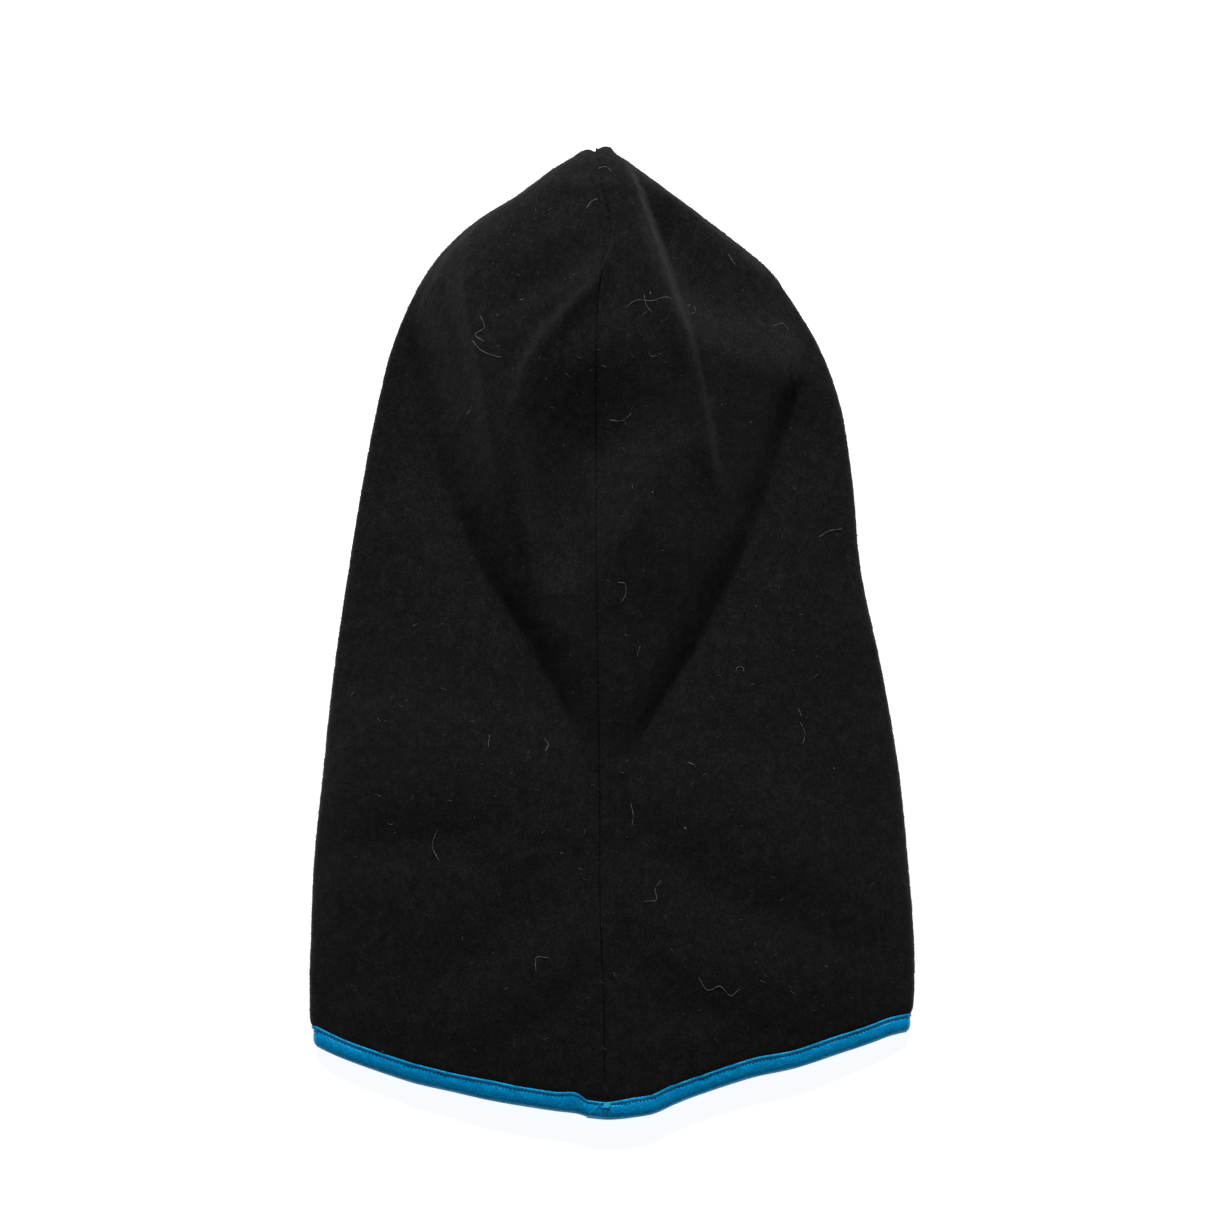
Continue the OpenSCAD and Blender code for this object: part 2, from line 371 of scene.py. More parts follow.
@dataclass(frozen=True)
class Layout:
    """Places and sizes read from the frame, in millimetres."""

    seam_x: float
    y_crown: float
    y_low: float
    y_side: float
    x_left: float
    x_right: float
    top: float
    face_y: float
    face_half_w: float
    face_half_h: float
    binding_w: float = 8.0

    @classmethod
    def from_frame(cls) -> "Layout":
        """Reads the boxes of the panels and bindings.

        Returns:
            The layout, in millimetres.
        """
        left, right = (np.array(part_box(n)) / MM for n in ("left_panel", "right_panel"))
        hem, face = (np.array(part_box(n)) / MM for n in ("hem_binding", "face_binding"))
        w = cls.binding_w
        return cls(
            seam_x=left[1][0],
            y_crown=left[1][1],
            y_low=hem[0][1],
            y_side=hem[1][1] - w,
            x_left=left[0][0],
            x_right=right[1][0],
            top=left[1][2],
            face_y=(face[0][1] + face[1][1]) / 2,
            face_half_w=(face[1][0] - face[0][0]) / 2 - w,
            face_half_h=(face[1][1] - face[0][1]) / 2 - w,
        )


class Measure(Enum):
    """How a fold's distance from its line is taken."""

    SQUARE = "square to the line"
    ACROSS = "along X, at the same Y"


@dataclass(frozen=True)
class Fold:
    """A ridge along a curved line, or a hollow where its height is negative.

    Its section is height * (1 - q^crest)^2, where q is the distance from the line as a share of the
    reach on that side. A line runs from the crown towards the hem, or from -X to +X where it lies
    across; its right side is then towards +X, or towards the crown.

    Attributes:
        stations: rows of X, Y, reach to the left, reach to the right, and height.
        crest: 1 for a sharp ridge, 2 for a round one, more for a flat top.
        measure: how the distance is taken.
    """

    stations: tuple[tuple[float, float, float, float, float], ...]
    crest: float = 2.0
    measure: Measure = Measure.SQUARE

    def across_at(self, x: Array, y: Array) -> Array:
        """Height at each place, from the line's X, reaches and height at the same Y.

        Args:
            x: X of each place.
            y: Y of each place.

        Returns:
            The heights.
        """
        rows = np.array(self.stations[::-1])[:, [1, 0, 2, 3, 4]]
        middle, left, right, height = (smooth(rows, y, k) for k in range(1, 5))
        off = x - middle
        q = np.clip(np.abs(off) / np.maximum(np.where(off < 0, left, right), 0.5), 0.0, 1.0)
        ends = ease((y - rows[0, 0]) / 14) * ease((rows[-1, 0] - y) / 14)
        return height * (1 - q**self.crest) ** 2 * ends

    def height_at(self, x: Array, y: Array) -> Array:
        """Height that this fold adds at each place.

        Args:
            x: X of each place.
            y: Y of each place.

        Returns:
            The heights.
        """
        if self.measure is Measure.ACROSS:
            return self.across_at(x, y)
        line = curve_through(self.stations, 30)
        reach = line[:, 2:4].max()
        low, high = line[:, :2].min(axis=0) - reach, line[:, :2].max(axis=0) + reach
        out = np.zeros(np.shape(x))
        inside = (x > low[0]) & (x < high[0]) & (y > low[1]) & (y < high[1])
        px, py = x[inside], y[inside]
        best = np.full(px.shape, np.inf)
        found = np.zeros(px.shape + (2,))
        for near, far in zip(line[:-1], line[1:]):
            step = far[:2] - near[:2]
            rx, ry = px - near[0], py - near[1]
            t = np.clip((rx * step[0] + ry * step[1]) / (step @ step), 0.0, 1.0)
            gap = np.hypot(rx - t * step[0], ry - t * step[1])
            row = near + t[:, None] * (far - near)
            right = step[0] * ry - step[1] * rx > 0
            side = np.where(right, row[:, 3], row[:, 2])
            q = np.clip(gap / np.maximum(side, 0.5), 0.0, 1.0)
            closer = gap < best
            best = np.where(closer, gap, best)
            found = np.where(closer[:, None], np.stack([q, row[:, 4]], axis=1), found)
        out[inside] = found[:, 1] * (1 - found[:, 0] ** self.crest) ** 2
        return out


# The outline's left and right X at each distance below the crown
OUTLINE = (
    (0, -9, -1), (1.8, -14.4, 0.7), (4.4, -17.5, 3.3), (7.1, -21.5, 7.7), (11, -27, 13),
    (22, -42, 28), (33, -59.5, 42.7), (44, -72, 57), (55, -81, 70), (66, -87.4, 78),
    (88, -96.7, 91.4), (110, -102.4, 100), (143, -109, 106), (188, -116.4, 110.4),
    (232, -122.8, 119.7), (276, -127.6, 127.2), (320, -132, 131.6), (342, -133, 133.4),
    (365, -133.8, 134.3), (374, -133.8, 134.1), (380, -133.6, 133.8), (384, -133, 133.2),
    (387, -131.6, 132), (393, -131.2, 131.2),
)
# The back hem's lower edge: X, then Y
BACK_HEM = (
    (-131, -183), (-129, -184), (-126, -185.4), (-122.8, -186.8), (-105, -193.5), (-87, -199.3),
    (-70, -203.1), (-52, -207), (-34, -210), (-17, -212.5), (-8, -213.8), (1, -214.5), (10, -214.1),
    (19, -212.4), (28, -208.4), (45, -202.2), (63, -196.5), (81, -192.6), (98, -187.1),
    (116, -181.2), (122, -179), (126.5, -177.8), (131, -177),
)
# The seam line from the hem to the crown: Y, then X
SEAM_LINE = (
    (-215, -3), (-172, -3.2), (-119, -5), (-57, -5.2), (-8, -6.2), (60, -6.4), (127, -6.6),
    (150, -5.6), (162, -3.5), (172, -0.2), (181, -0.8), (189, -2.3), (196, -4.2), (204, -5.4),
    (215, -7),
)
# Height of the middle of the back layer over the floor: distance below the crown, then height
LOFT = (
    (0, 10), (6, 12.5), (14, 13.5), (33, 14), (66, 14), (110, 13.5), (165, 13), (230, 14.5),
    (300, 16), (345, 15.5), (375, 12.5), (392, 9.5),
)
CROWN_FOLDS = (
    # The crown's swollen shield, which narrows to a point on the seam
    Fold(
        (
            (-4, 209, 24, 24, 2), (-5, 190, 54, 54, 5), (-5, 168, 78, 76, 9.5),
            (-5, 140, 84, 90, 12.8), (-5, 110, 81, 88, 14.6), (-5, 80, 74, 78, 15),
            (-6, 50, 63, 70, 14.2), (-3, 25, 54, 57, 11.8), (-1, 0, 39, 43, 8.6),
            (0, -25, 26, 26, 5.5), (0, -43, 17, 15, 2.8), (0, -60, 12, 11, 1), (0, -84, 8, 8, 0),
        ),
        6.0,
        Measure.ACROSS,
    ),
    # The sharp fold that runs down the right of the seam
    Fold(
        (
            (3, 211, 7, 3, 1.2), (7.6, 200, 10, 4, 3.4), (16, 178, 15, 5, 5.2),
            (24.6, 151, 16, 5, 5.2), (32, 129, 16, 5, 4.8), (38.4, 103, 16, 5, 4.4),
            (42.8, 76, 15, 6, 3.4), (47, 60, 12, 7, 1),
        ),
        1.1,
    ),
    # The hollow beside it under the right shoulder
    Fold(
        (
            (14, 191, 6, 14, -3.5), (22, 173, 10, 30, -9.5), (38, 152, 20, 38, -10.5),
            (59, 141, 26, 30, -6.5), (80, 131, 20, 16, -1.6),
        ),
        1.9,
    ),
    # The right shoulder
    Fold(
        ((54, 124, 20, 18, 1), (66, 123, 20, 20, 2.2), (82, 115, 18, 20, 2.6), (96, 100, 18, 14, 1.2)),
    ),
    # The valley along the shield's right edge
    Fold(
        (
            (88, 120, 14, 18, -2.5), (79, 95, 15, 28, -6.4), (69, 62, 14, 32, -6.6),
            (60, 37, 15, 32, -5), (43, 5, 16, 32, -3.4), (25, -24, 16, 30, -2.6),
            (10, -54, 12, 22, -1.4),
        ),
        1.5,
    ),
    # The left fold, from the shoulder
    Fold(
        (
            (-62, 168, 14, 20, 1.4), (-63, 147, 10, 20, 3.8), (-58, 125, 10, 20, 5.6),
            (-53, 94, 10, 18, 5.8), (-48, 67, 10, 16, 4.8), (-41, 45, 9, 14, 3), (-35, 24, 9, 12, 1),
        ),
        1.2,
    ),
    # The valley along the shield's left edge
    Fold(
        (
            (-90, 142, 10, 14, -2.4), (-86, 114, 22, 22, -6.4), (-79, 80, 30, 22, -7.4),
            (-65, 44, 34, 20, -6), (-45, 8, 34, 18, -3.2), (-27, -20, 28, 16, -2.4),
            (-12, -50, 20, 12, -1.2),
        ),
        1.8,
    ),
    # The curved lip over the hollow
    Fold(
        (
            (1, 170, 5, 4, 1.4), (-4, 158, 6, 8, 3), (-16.5, 143, 6, 12, 4),
            (-31, 126, 6, 14, 4.6), (-41, 104, 6, 14, 4.4), (-44, 88, 6, 14, 3.8),
            (-42, 66, 6, 12, 3), (-37.5, 38, 7, 12, 1),
        ),
        1.1,
    ),
    # The crease above the lip
    Fold(
        (
            (-1, 182, 8, 6, -0.8), (-6, 172, 12, 7, -1.8), (-21, 158, 16, 9, -2.2),
            (-38, 149, 14, 10, -1.6), (-48, 140, 10, 8, -0.5),
        ),
    ),
    # The hollow inside it
    Fold(
        (
            (26, 98, 30, 24, -2.4), (8, 93, 40, 28, -8), (-8, 82, 40, 32, -12),
            (-18, 62, 30, 34, -12), (-22, 40, 24, 28, -8.4), (-22, 16, 16, 18, -2),
        ),
        2.0,
    ),
    # The swell under the hollow
    Fold(
        (
            (2, 58, 26, 20, 0.8), (14, 46, 28, 24, 1.2),
            (18, 30, 22, 24, 0.8),
        ),
    ),
)
BODY_FOLDS = (
    Fold(
        (
            (-128, -58, 36, 44, 2), (-100, -64, 38, 50, 4.8),
            (-70, -68, 36, 52, 5), (-38, -84, 28, 38, 2),
        ),
    ),
    Fold(
        (
            (12, -66, 26, 28, 1), (40, -76, 32, 40, 2.9),
            (74, -94, 34, 42, 3.4), (112, -110, 30, 34, 1.6),
        ),
    ),
    Fold(
        (
            (6, -116, 20, 22, 0.7), (36, -138, 26, 30, 2.2),
            (70, -150, 28, 30, 2.4), (104, -160, 22, 24, 1),
        ),
    ),
    Fold(
        (
            (-62, -172, 18, 18, 1.2), (-34, -152, 18, 20, 2.6),
            (-8, -132, 16, 18, 1.4),
        ),
    ),
    Fold(
        (
            (-118, -114, 42, 20, 1.6), (-84, -110, 46, 22, 3.2),
            (-48, -100, 30, 16, 1.8),
        ),
    ),
    Fold(
        (
            (8, -140, 18, 20, -1.2), (16, -168, 22, 26, -2.2),
            (12, -198, 16, 18, -1.2),
        ),
    ),
)
# Small gathers that run up from the binding: X, Y, length upwards, lean and height
GATHERS = (
    (-102, -180, 22, 5, 0.5), (-88, -186, 30, 8, 0.7), (-74, -190, 26, 6, 0.6),
    (-58, -194, 20, 4, 0.4), (-44, -197, 30, 5, 0.7), (-30, -200, 22, 3, 0.5),
    (-16, -202, 34, 3, 0.8), (6, -203, 26, -2, 0.6), (18, -199, 34, -4, 0.8),
    (30, -194, 30, -7, 0.9), (41, -191, 26, -6, 0.9), (56, -187, 24, -8, 0.6),
    (72, -183, 26, -6, 0.6), (92, -177, 22, -5, 0.4), (108, -171, 18, -4, 0.4),
)


# Gentle waves all over the cloth: height, spacing and seed
WAVES = ((0.9, 34, 5), (0.35, 13, 6))


@dataclass
class Hood:
    """The middle surface of the cloth.

    A place on it is a side, a distance s from the seam as seen from above, a row e counted up from the
    hem, and the layer, back or front. The back layer's height is
    fold + (loft - fold) * dome * crown + folds, where dome = sqrt(1 - across^2.9) rounds the side
    folds and crown rounds the end of the hood in the same way.
    """

    layout: Layout
    thickness: float = 2.4
    fold_z: float = 4.4
    dome_power: float = 2.9
    crown_round: float = 10.0
    floor_round: float = 9.0
    straight_reach: float = 100.0
    front_drop: float = 17.0
    tape_drop: float = 0.75
    left_tip_drop: float = 1.2
    depth: float = 1.12
    wave_origin: float = 400.0
    gather_depth: float = 2.8
    tape_hold: float = 0.35
    floor_gap: float = 0.45
    face_widening: float = 0.06
    folds: tuple[Fold, ...] = CROWN_FOLDS + BODY_FOLDS

    @property
    def top_y(self) -> float:
        """Y of the middle surface's end at the crown."""
        return self.layout.y_crown - self.thickness / 2

    @property
    def rows_high(self) -> float:
        """Height of the shell in rows, from the hem at the side folds to the crown."""
        return self.top_y - self.layout.y_side

    @property
    def front_rest(self) -> float:
        """Height of the front layer's middle surface where it lies flat."""
        return self.thickness / 2 + self.floor_gap

    def seam(self, y: Array) -> Array:
        """X of the seam at a height along the hood."""
        return smooth(SEAM_LINE, y)

    def reach(self, side: Side, e: Array) -> Array:
        """Distance from the seam to the side fold, inside the outline by half the cloth measured
        square to it.

        Args:
            side: which half of the hood.
            e: rows, counted up from the hem.

        Returns:
            The distances, never less than 0.8 mm.
        """
        column = 1 if side is Side.LEFT else 2
        y = self.layout.y_side + e
        down = self.layout.y_crown - y
        slope = np.abs(smooth(OUTLINE, down + 1.5, column) - smooth(OUTLINE, down - 1.5, column)) / 3
        inset = self.thickness / 2 * np.sqrt(1 + np.minimum(slope, 2.0) ** 2)
        return np.maximum(np.abs(smooth(OUTLINE, down, column) - self.seam(y)) - inset, 0.8)

    def hem_y(self, x: Array, back: bool) -> Array:
        """Y of the cloth's cut edge under a place across the hood.

        Args:
            x: X of each place.
            back: whether on the back or on the front.

        Returns:
            Y of the edge at each place.
        """
        if back:
            return smooth(BACK_HEM, x) + self.tape_drop
        (x0, y0), (x1, y1) = BACK_HEM[0], BACK_HEM[-1]
        share = np.clip((x - x0) / (x1 - x0), 0.0, 1.0)
        return y0 + (y1 - y0) * share - self.front_drop * np.sin(np.pi * share) + self.tape_drop

    def row_y(self, x: Array, e: Array, back: bool) -> Array:
        """Y of a row: the hem's own curve low down, easing into straight rows higher up."""
        keep = 1 - ease((e - self.layout.binding_w) / self.straight_reach)
        return self.layout.y_side + e + (self.hem_y(x, back) - self.layout.y_side) * keep

    def row_at(self, x: Array, y: Array) -> Array:
        """Row of a place on the back, by turning row_y round in repeated steps.

        Args:
            x: X of each place.
            y: Y of each place.

        Returns:
            Rows, counted up from the hem.
        """
        e = y - self.layout.y_side
        for _ in range(24):
            e = e + 0.7 * (y - self.row_y(x, e, True))
        return e

    def relief(self, x: Array, y: Array) -> Array:
        """Sum of the folds' heights and of two scales of gentle waves.

        Args:
            x: X of each place.
            y: Y of each place.

        Returns:
            Heights to add to the plain dome.
        """
        x, y = np.broadcast_arrays(x, y)
        px, py = x + self.wave_origin, y + self.wave_origin
        total = sum(high * value_noise(px, py, cell, seed) for high, cell, seed in WAVES)
        for fold in self.folds:
            total = total + self.depth * fold.height_at(x, y)
        for gx, gy, length, lean, height in GATHERS:
            up = np.clip((y - gy + 6) / length, 0.0, 1.0)
            off = (x - gx - lean * up) / (2.2 + 3.0 * up)
            grip = self.tape_hold + (1 - self.tape_hold) * ease((y - gy - 4) / 12)
            ends = (1 - up) * ease(up * 6 + 0.5)
            total = total + self.gather_depth * height * grip * np.exp(-(off**2)) * ends
        return total

    def back_height(self, x: Array, y: Array, across: Array, down: Array) -> Array:
        """Height of the back layer's middle surface.

        Args:
            x: place across.
            y: place along.
            across: distance from the seam as a share of the reach.
            down: distance below the crown's end.

        Returns:
            Heights over the floor.
        """
        dome = np.sqrt(np.maximum(1 - across**self.dome_power, 0.0))
        end = np.clip(down / self.crown_round, 0.0, 1.0)
        crown = np.sqrt(1 - (1 - end) ** 2)
        base = (smooth(LOFT, down) - self.fold_z) * dome * crown
        return self.fold_z + base + self.relief(x, y) * np.minimum(1.0, 2.2 * dome) * crown

    def back_z(self, x: Array, y: Array) -> Array:
        """Height of the back layer's middle surface at a place seen from above.

        Args:
            x: X of each place.
            y: Y of each place.

        Returns:
            Heights over the floor.
        """
        e = self.row_at(x, y)
        off = x - self.seam(y)
        reach = np.where(off < 0, self.reach(Side.LEFT, e), self.reach(Side.RIGHT, e))
        across = np.minimum(np.abs(off) / reach, 1.0)
        return self.back_height(x, y, across, np.maximum(self.rows_high - e, 0.0))

    def front_height(self, s: Array, reach: Array, down: Array) -> Array:
        """Height of the front layer's middle surface, flat on the floor but for its rounded rim.

        Args:
            s: distances from the seam.
            reach: distances from the seam to the side fold.
            down: distances below the crown's end.

        Returns:
            Heights over the floor.
        """
        rest = self.front_rest
        k = np.clip((s - (reach - self.floor_round)) / self.floor_round, 0.0, 1.0)
        end = np.clip(1 - down / self.crown_round, 0.0, 1.0)
        curl = 1 - np.sqrt(np.maximum(1 - np.minimum(k**2 + end**2, 1.0), 0.0))
        return rest + (self.fold_z - rest) * curl

    def place(self, side: Side, s: Array, e: Array, back: bool) -> Array:
        """Points of the middle surface at distances from the seam and rows.

        Args:
            side: which half of the hood.
            s: distances from the seam.
            e: rows, counted up from the hem.
            back: whether on the back or on the front.

        Returns:
            The points, with their three coordinates last.
        """
        y_straight = self.layout.y_side + e
        x = self.seam(y_straight) + side.value * s
        y = self.row_y(x, e, back)
        reach = self.reach(side, e)
        down = np.maximum(self.rows_high - e, 0.0)
        if back:
            x = self.seam(y) + side.value * s
            z = self.back_height(x, y, np.minimum(np.abs(s) / reach, 1.0), down)
        else:
            z = self.front_height(s, reach, down)
        if side is Side.LEFT:
            y = y - self.left_tip_drop * ease(1 - down / 10)
        return np.stack(np.broadcast_arrays(x, y, z), axis=-1)

    def around(self, u: Array, e: Array) -> Array:
        """Points of the middle surface on the way round a row.

        Args:
            u: 0 at the back seam, 1 at the right side fold, 2 at the front's middle, 3 at the left
                side fold and 4 at the back seam again.
            e: rows, matched with u.

        Returns:
            The points.
        """
        turn = np.mod(u, 4.0)
        out = np.zeros(np.broadcast(u, e).shape + (3,))
        for side, low in ((Side.RIGHT, turn < 2), (Side.LEFT, turn >= 2)):
            a = turn if side is Side.RIGHT else 4.0 - turn
            s = self.reach(side, e) * np.abs(np.sin(np.pi / 2 * a))
            for back, here in ((True, a <= 1), (False, a > 1)):
                mask = np.broadcast_to((low & here)[..., None], out.shape)
                out = np.where(mask, self.place(side, s, e, back), out)
        return out

    def opening(self, y: Array, grow: float) -> Array:
        """Half width of the face opening grown by a margin, 0 above and below it.

        Args:
            y: Y of each place.
            grow: margin added all round.

        Returns:
            Half widths.
        """
        u = (y - self.layout.face_y) / (self.layout.face_half_h + grow)
        half = self.layout.face_half_w + grow
        return half * np.sqrt(np.maximum(1 - u**2, 0.0)) * (1 + self.face_widening * np.clip(u, -1, 1))


@dataclass
class FleecePanel:
    """One fleece panel, a closed shell round its half of the hood's middle surface."""

    hood: Hood
    side: Side
    rows: int = 300
    top_cols: int = 92
    front_cols: int = 42
    bend: float = 1.0
    press: float = 0.16
    allowance: float = 5.0
    squeeze: float = 0.5
    pile: float = 0.21
    flat_w: float = 0.27
    flat_l: float = 0.44
    flat_area: float = 0.088

    @property
    def start(self) -> float:
        """Distance from the seam at which the open cloth begins."""
        return self.hood.thickness / 2 + self.bend

    def heights(self) -> Array:
        """Rows counted up from the hem: even, then closer together round the crown's end.

        Returns:
            The rows, in one column.
        """
        end, fine = 16.0, 30
        high = self.hood.rows_high - 0.1
        even = np.linspace(0.0, high - end, self.rows - fine, endpoint=False)
        return np.concatenate([even, high - end + end * np.sin(np.linspace(0, np.pi / 2, fine))])[:, None]

    def seam_group(self, firm: Array) -> tuple[Array, Array]:
        """Section of the allowance and the bend at the seam.

        Args:
            firm: how fully each row bends, from 0 where it lies flat to 1.

        Returns:
            For each row, distances from the seam and drops below the surface, from the cut edge
            up to the start of the open surface.
        """
        half = self.hood.thickness / 2
        turn = np.radians([90.0, 66.0, 42.0, 20.0])
        s = np.concatenate([[half] * 3, half + self.bend * (1 - np.sin(turn))]) - self.press
        drop_bend = np.concatenate([[self.bend] * 3, self.bend * (1 - np.cos(turn))])
        drop_hang = np.array([1.0, 0.6, 0.25] + [0.0] * 4) * self.allowance
        flat = np.linspace(-self.press, self.start, len(s) + 1)[:-1]
        return firm * s + (1 - firm) * flat, firm * drop_bend + firm**2 * drop_hang

    def middle(self) -> Array:
        """Grid of points on the middle surface, a row for each height, from the back seam's cut
        edge over the side fold to the front seam's, or to the opening's.

        Returns:
            The grid of points.
        """
        hood = self.hood
        e = self.heights()
        down = hood.rows_high - e
        reach = hood.reach(self.side, e)
        firm = ease((e - 10) / 8) * ease((down - 1) / 12)
        start = np.minimum(self.start, reach * 0.6)
        s, drop = self.seam_group(firm)
        s = np.minimum(s, start * 0.98)
        lin = np.linspace(0.0, 1.0, self.top_cols)
        spread = 0.62 * lin + 0.38 * np.sin(np.pi / 2 * lin)
        s = np.concatenate([s, start + (reach - start) * spread], axis=1)
        drop = np.concatenate([drop, np.zeros((len(e), self.top_cols))], axis=1)
        back = hood.place(self.side, s, np.broadcast_to(e, s.shape), True)
        back[..., 2] -= drop
        back[..., 1] -= 1.6 * np.exp(-((s / 2.4) ** 2)) * ease(1 - down / 9)

        y_straight = hood.layout.y_side + e
        edge = hood.opening(y_straight, 0.7)
        near = ease((np.abs(y_straight - hood.layout.face_y) - hood.layout.face_half_h - 9) / 6)
        s_end, drop_end = self.seam_group(firm * near)
        s_end = np.minimum(s_end, start * 0.98) + edge
        lin = np.linspace(0.0, 1.0, self.front_cols + 1)[1:]
        spread = 0.62 * lin + 0.38 * (1 - np.cos(np.pi / 2 * lin))
        s = np.concatenate([reach - (reach - start - edge) * spread, s_end[:, ::-1]], axis=1)
        rise = np.concatenate([np.zeros((len(e), self.front_cols)), drop_end[:, ::-1]], axis=1)
        front = hood.place(self.side, s, np.broadcast_to(e, s.shape), False)
        front[..., 2] += 0.5 * rise
        return np.concatenate([back, front], axis=1)

    def shell(self) -> Parts:
        """The panel's points, quads and triangles: the middle surface moved half a thickness each
        way, less where tape grips it, and more or less by two scales of noise for the brushed face.

        Returns:
            Points, quads and triangles.
        """
        mid = self.middle()
        rows, cols, _ = mid.shape
        e = self.heights()
        out = unit(np.cross(np.gradient(mid, axis=1), np.gradient(mid, axis=0))) * self.side.value
        hem = ease((e - 7.2) / 2.6)
        face = self.hood.layout
        ring = np.hypot(
            (mid[..., 0] - face.seam_x) / (face.face_half_w + 8.6),
            (mid[..., 1] - face.face_y) / (face.face_half_h + 8.6),
        )
        low = mid[..., 2] < self.hood.fold_z * 0.8
        bound = np.where(low, ease((ring - 0.985) / 0.04), 1.0)
        half = self.hood.thickness / 2 * (self.squeeze + (1 - self.squeeze) * hem * bound)
        steps = np.linalg.norm(np.diff(mid, axis=1), axis=2)
        along = np.concatenate([np.zeros((rows, 1)), np.cumsum(steps, axis=1)], axis=1)
        seed = 20 + self.side.value
        fuzz = 0.55 * value_noise(along + 50, e + 50, 2.7, seed)
        fuzz = (fuzz + 0.45 * value_noise(along + 50, e + 50, 1.5, seed + 3)) * self.pile * hem
        outer = mid + out * (half + np.where(low, 0.4, 1.0) * fuzz)[..., None]
        outer[..., 2] = np.maximum(outer[..., 2], 0.02)
        inner = mid - out * half[..., None]
        count = rows * cols
        fold = self.top_cols + 6
        grid = np.arange(count).reshape(rows, cols)
        quads = [
            quads_of_grid(rows, cols),
            quads_of_grid(rows, cols, count)[:, ::-1],
            strip_between(grid[0] + count, grid[0]),
            strip_between(grid[:, 0], grid[:, 0] + count),
            strip_between(grid[:, -1] + count, grid[:, -1]),
            np.array([[grid[-1, 0], grid[-1, -1], grid[-1, -1] + count, grid[-1, 0] + count]]),
        ]
        cap = zip_between(grid[-1, : fold + 1], grid[-1, fold + 1 :][::-1])
        tris = np.concatenate([cap[:, ::-1], cap + count])
        return np.concatenate([outer.reshape(-1, 3), inner.reshape(-1, 3)]), np.concatenate(quads), tris

    def build(self, material: bpy.types.Material) -> bpy.types.Object:
        """Makes the panel.

        Args:
            material: the fleece.

        Returns:
            The panel's object.
        """
        name = "left_panel" if self.side is Side.LEFT else "right_panel"
        obj = write_mesh(name + "_fleece", *self.shell())
        finish_piece(obj, material, (name,))
        return obj


# ---- Bindings --------------------------------------------------------------------------------


@dataclass(frozen=True)
class TapeFold:
    """Section of a tape folded over an edge.

    Its middle line is a U: up the inside, round the edge, and up the outside, with its top edges
    turned under. Across is the distance from the cut edge into the cloth; off is the distance from
    the cloth's middle, towards its outside.
    """

    width: float = 7.9
    inner_width: float = 7.4
    grip: float = 0.62
    thick: float = 0.46
    stitch_in: float = 1.75
    puff: float = 0.95
    bead: float = 0.34
    edge: float = 0.72

    @property
    def row(self) -> float:
        """Distance across at which the stitches run."""
        return self.width - self.stitch_in

    def face_off(self, across: Array) -> Array:
        """How far the outer leaf's middle stands off: puffed up below the stitches, as
        sin^0.7(pi * across / row), pressed down at them and beaded at its edge.

        Args:
            across: distances across the tape.

        Returns:
            Distances off the cloth's middle surface.
        """
        body = np.sin(np.pi * np.clip(across / self.row, 0.0, 1.0)) ** 0.7
        bead = np.exp(-(((across - self.width + 0.55) / 0.55) ** 2))
        return self.grip + self.thick / 2 + self.puff * body + self.bead * bead

    def middle_line(self) -> tuple[Array, Array]:
        """The U's points, across and off.

        Returns:
            Distances across, and distances off the cloth's middle surface.
        """
        up_in = np.linspace(self.inner_width, 0.6, 8)
        turn = np.linspace(-np.pi / 2, np.pi / 2, 9)[1:-1]
        low, high = np.linspace(0.6, self.row - 0.9, 7), np.linspace(self.row - 0.5, self.width, 9)
        up_out = np.concatenate([low, high])
        off = self.grip + self.thick / 2
        round_edge = 0.6 - (0.6 + self.edge - self.thick / 2) * np.cos(turn)
        across = np.concatenate([up_in, round_edge, up_out])
        out = np.concatenate([np.full(8, -off - 0.1), off * np.sin(turn), self.face_off(up_out)])
        return across, out

    def ring(self) -> tuple[Array, Array]:
        """The closed section: the middle line moved half a thickness each way, with round ends.

        Returns:
            Distances across, and distances off the cloth's middle surface.
        """
        across, off = self.middle_line()
        line = np.stack([across, off], axis=1)
        along = unit(np.gradient(line, axis=0))
        side = np.stack([-along[:, 1], along[:, 0]], axis=1) * self.thick / 2
        tip = line[-1:] + along[-1:] * self.thick / 2
        tail = line[:1] - along[:1] * self.thick / 2
        ring = np.concatenate([line + side, tip, (line - side)[::-1], tail])
        return ring[:, 0], ring[:, 1]


@dataclass
class EdgePath:
    """An edge that a tape follows, with equal steps along it.

    Attributes:
        surface: gives points from the way round and the distance across.
        turns: way round at the start and the end.
        across: where the length is measured.
        flip: -1 where the cross product of the way round and across points to the inside.
    """

    surface: Callable[[Array, Array], Array]
    turns: tuple[float, float]
    across: float = 4.0
    flip: float = 1.0

    def __post_init__(self) -> None:
        """Measures the edge at fine steps."""
        self._u = np.linspace(self.turns[0], self.turns[1], 4001)
        line = self.surface(self._u, np.full_like(self._u, self.across))
        step = np.linalg.norm(np.diff(line, axis=0), axis=1)
        self._length = np.concatenate([[0.0], np.cumsum(step)])

    @property
    def length(self) -> float:
        """Length of the edge."""
        return float(self._length[-1])

    def frame(self, at: Array, across: Array) -> tuple[Array, Array, Array]:
        """Points, outward normals and directions along the edge.

        Args:
            at: lengths along the edge.
            across: distances across, matched with at.

        Returns:
            The points, the unit normals and the unit directions.
        """
        at, across = np.broadcast_arrays(at, across)
        u = np.interp(at, self._length, self._u)
        d = 1.2 / self.length * (self.turns[1] - self.turns[0])
        points = self.surface(u, across)
        along = unit(self.surface(u + d, across) - self.surface(u - d, across))
        up = unit(self.surface(u, across + 0.8) - self.surface(u, across - 0.8))
        return points, unit(np.cross(along, up)) * self.flip, along


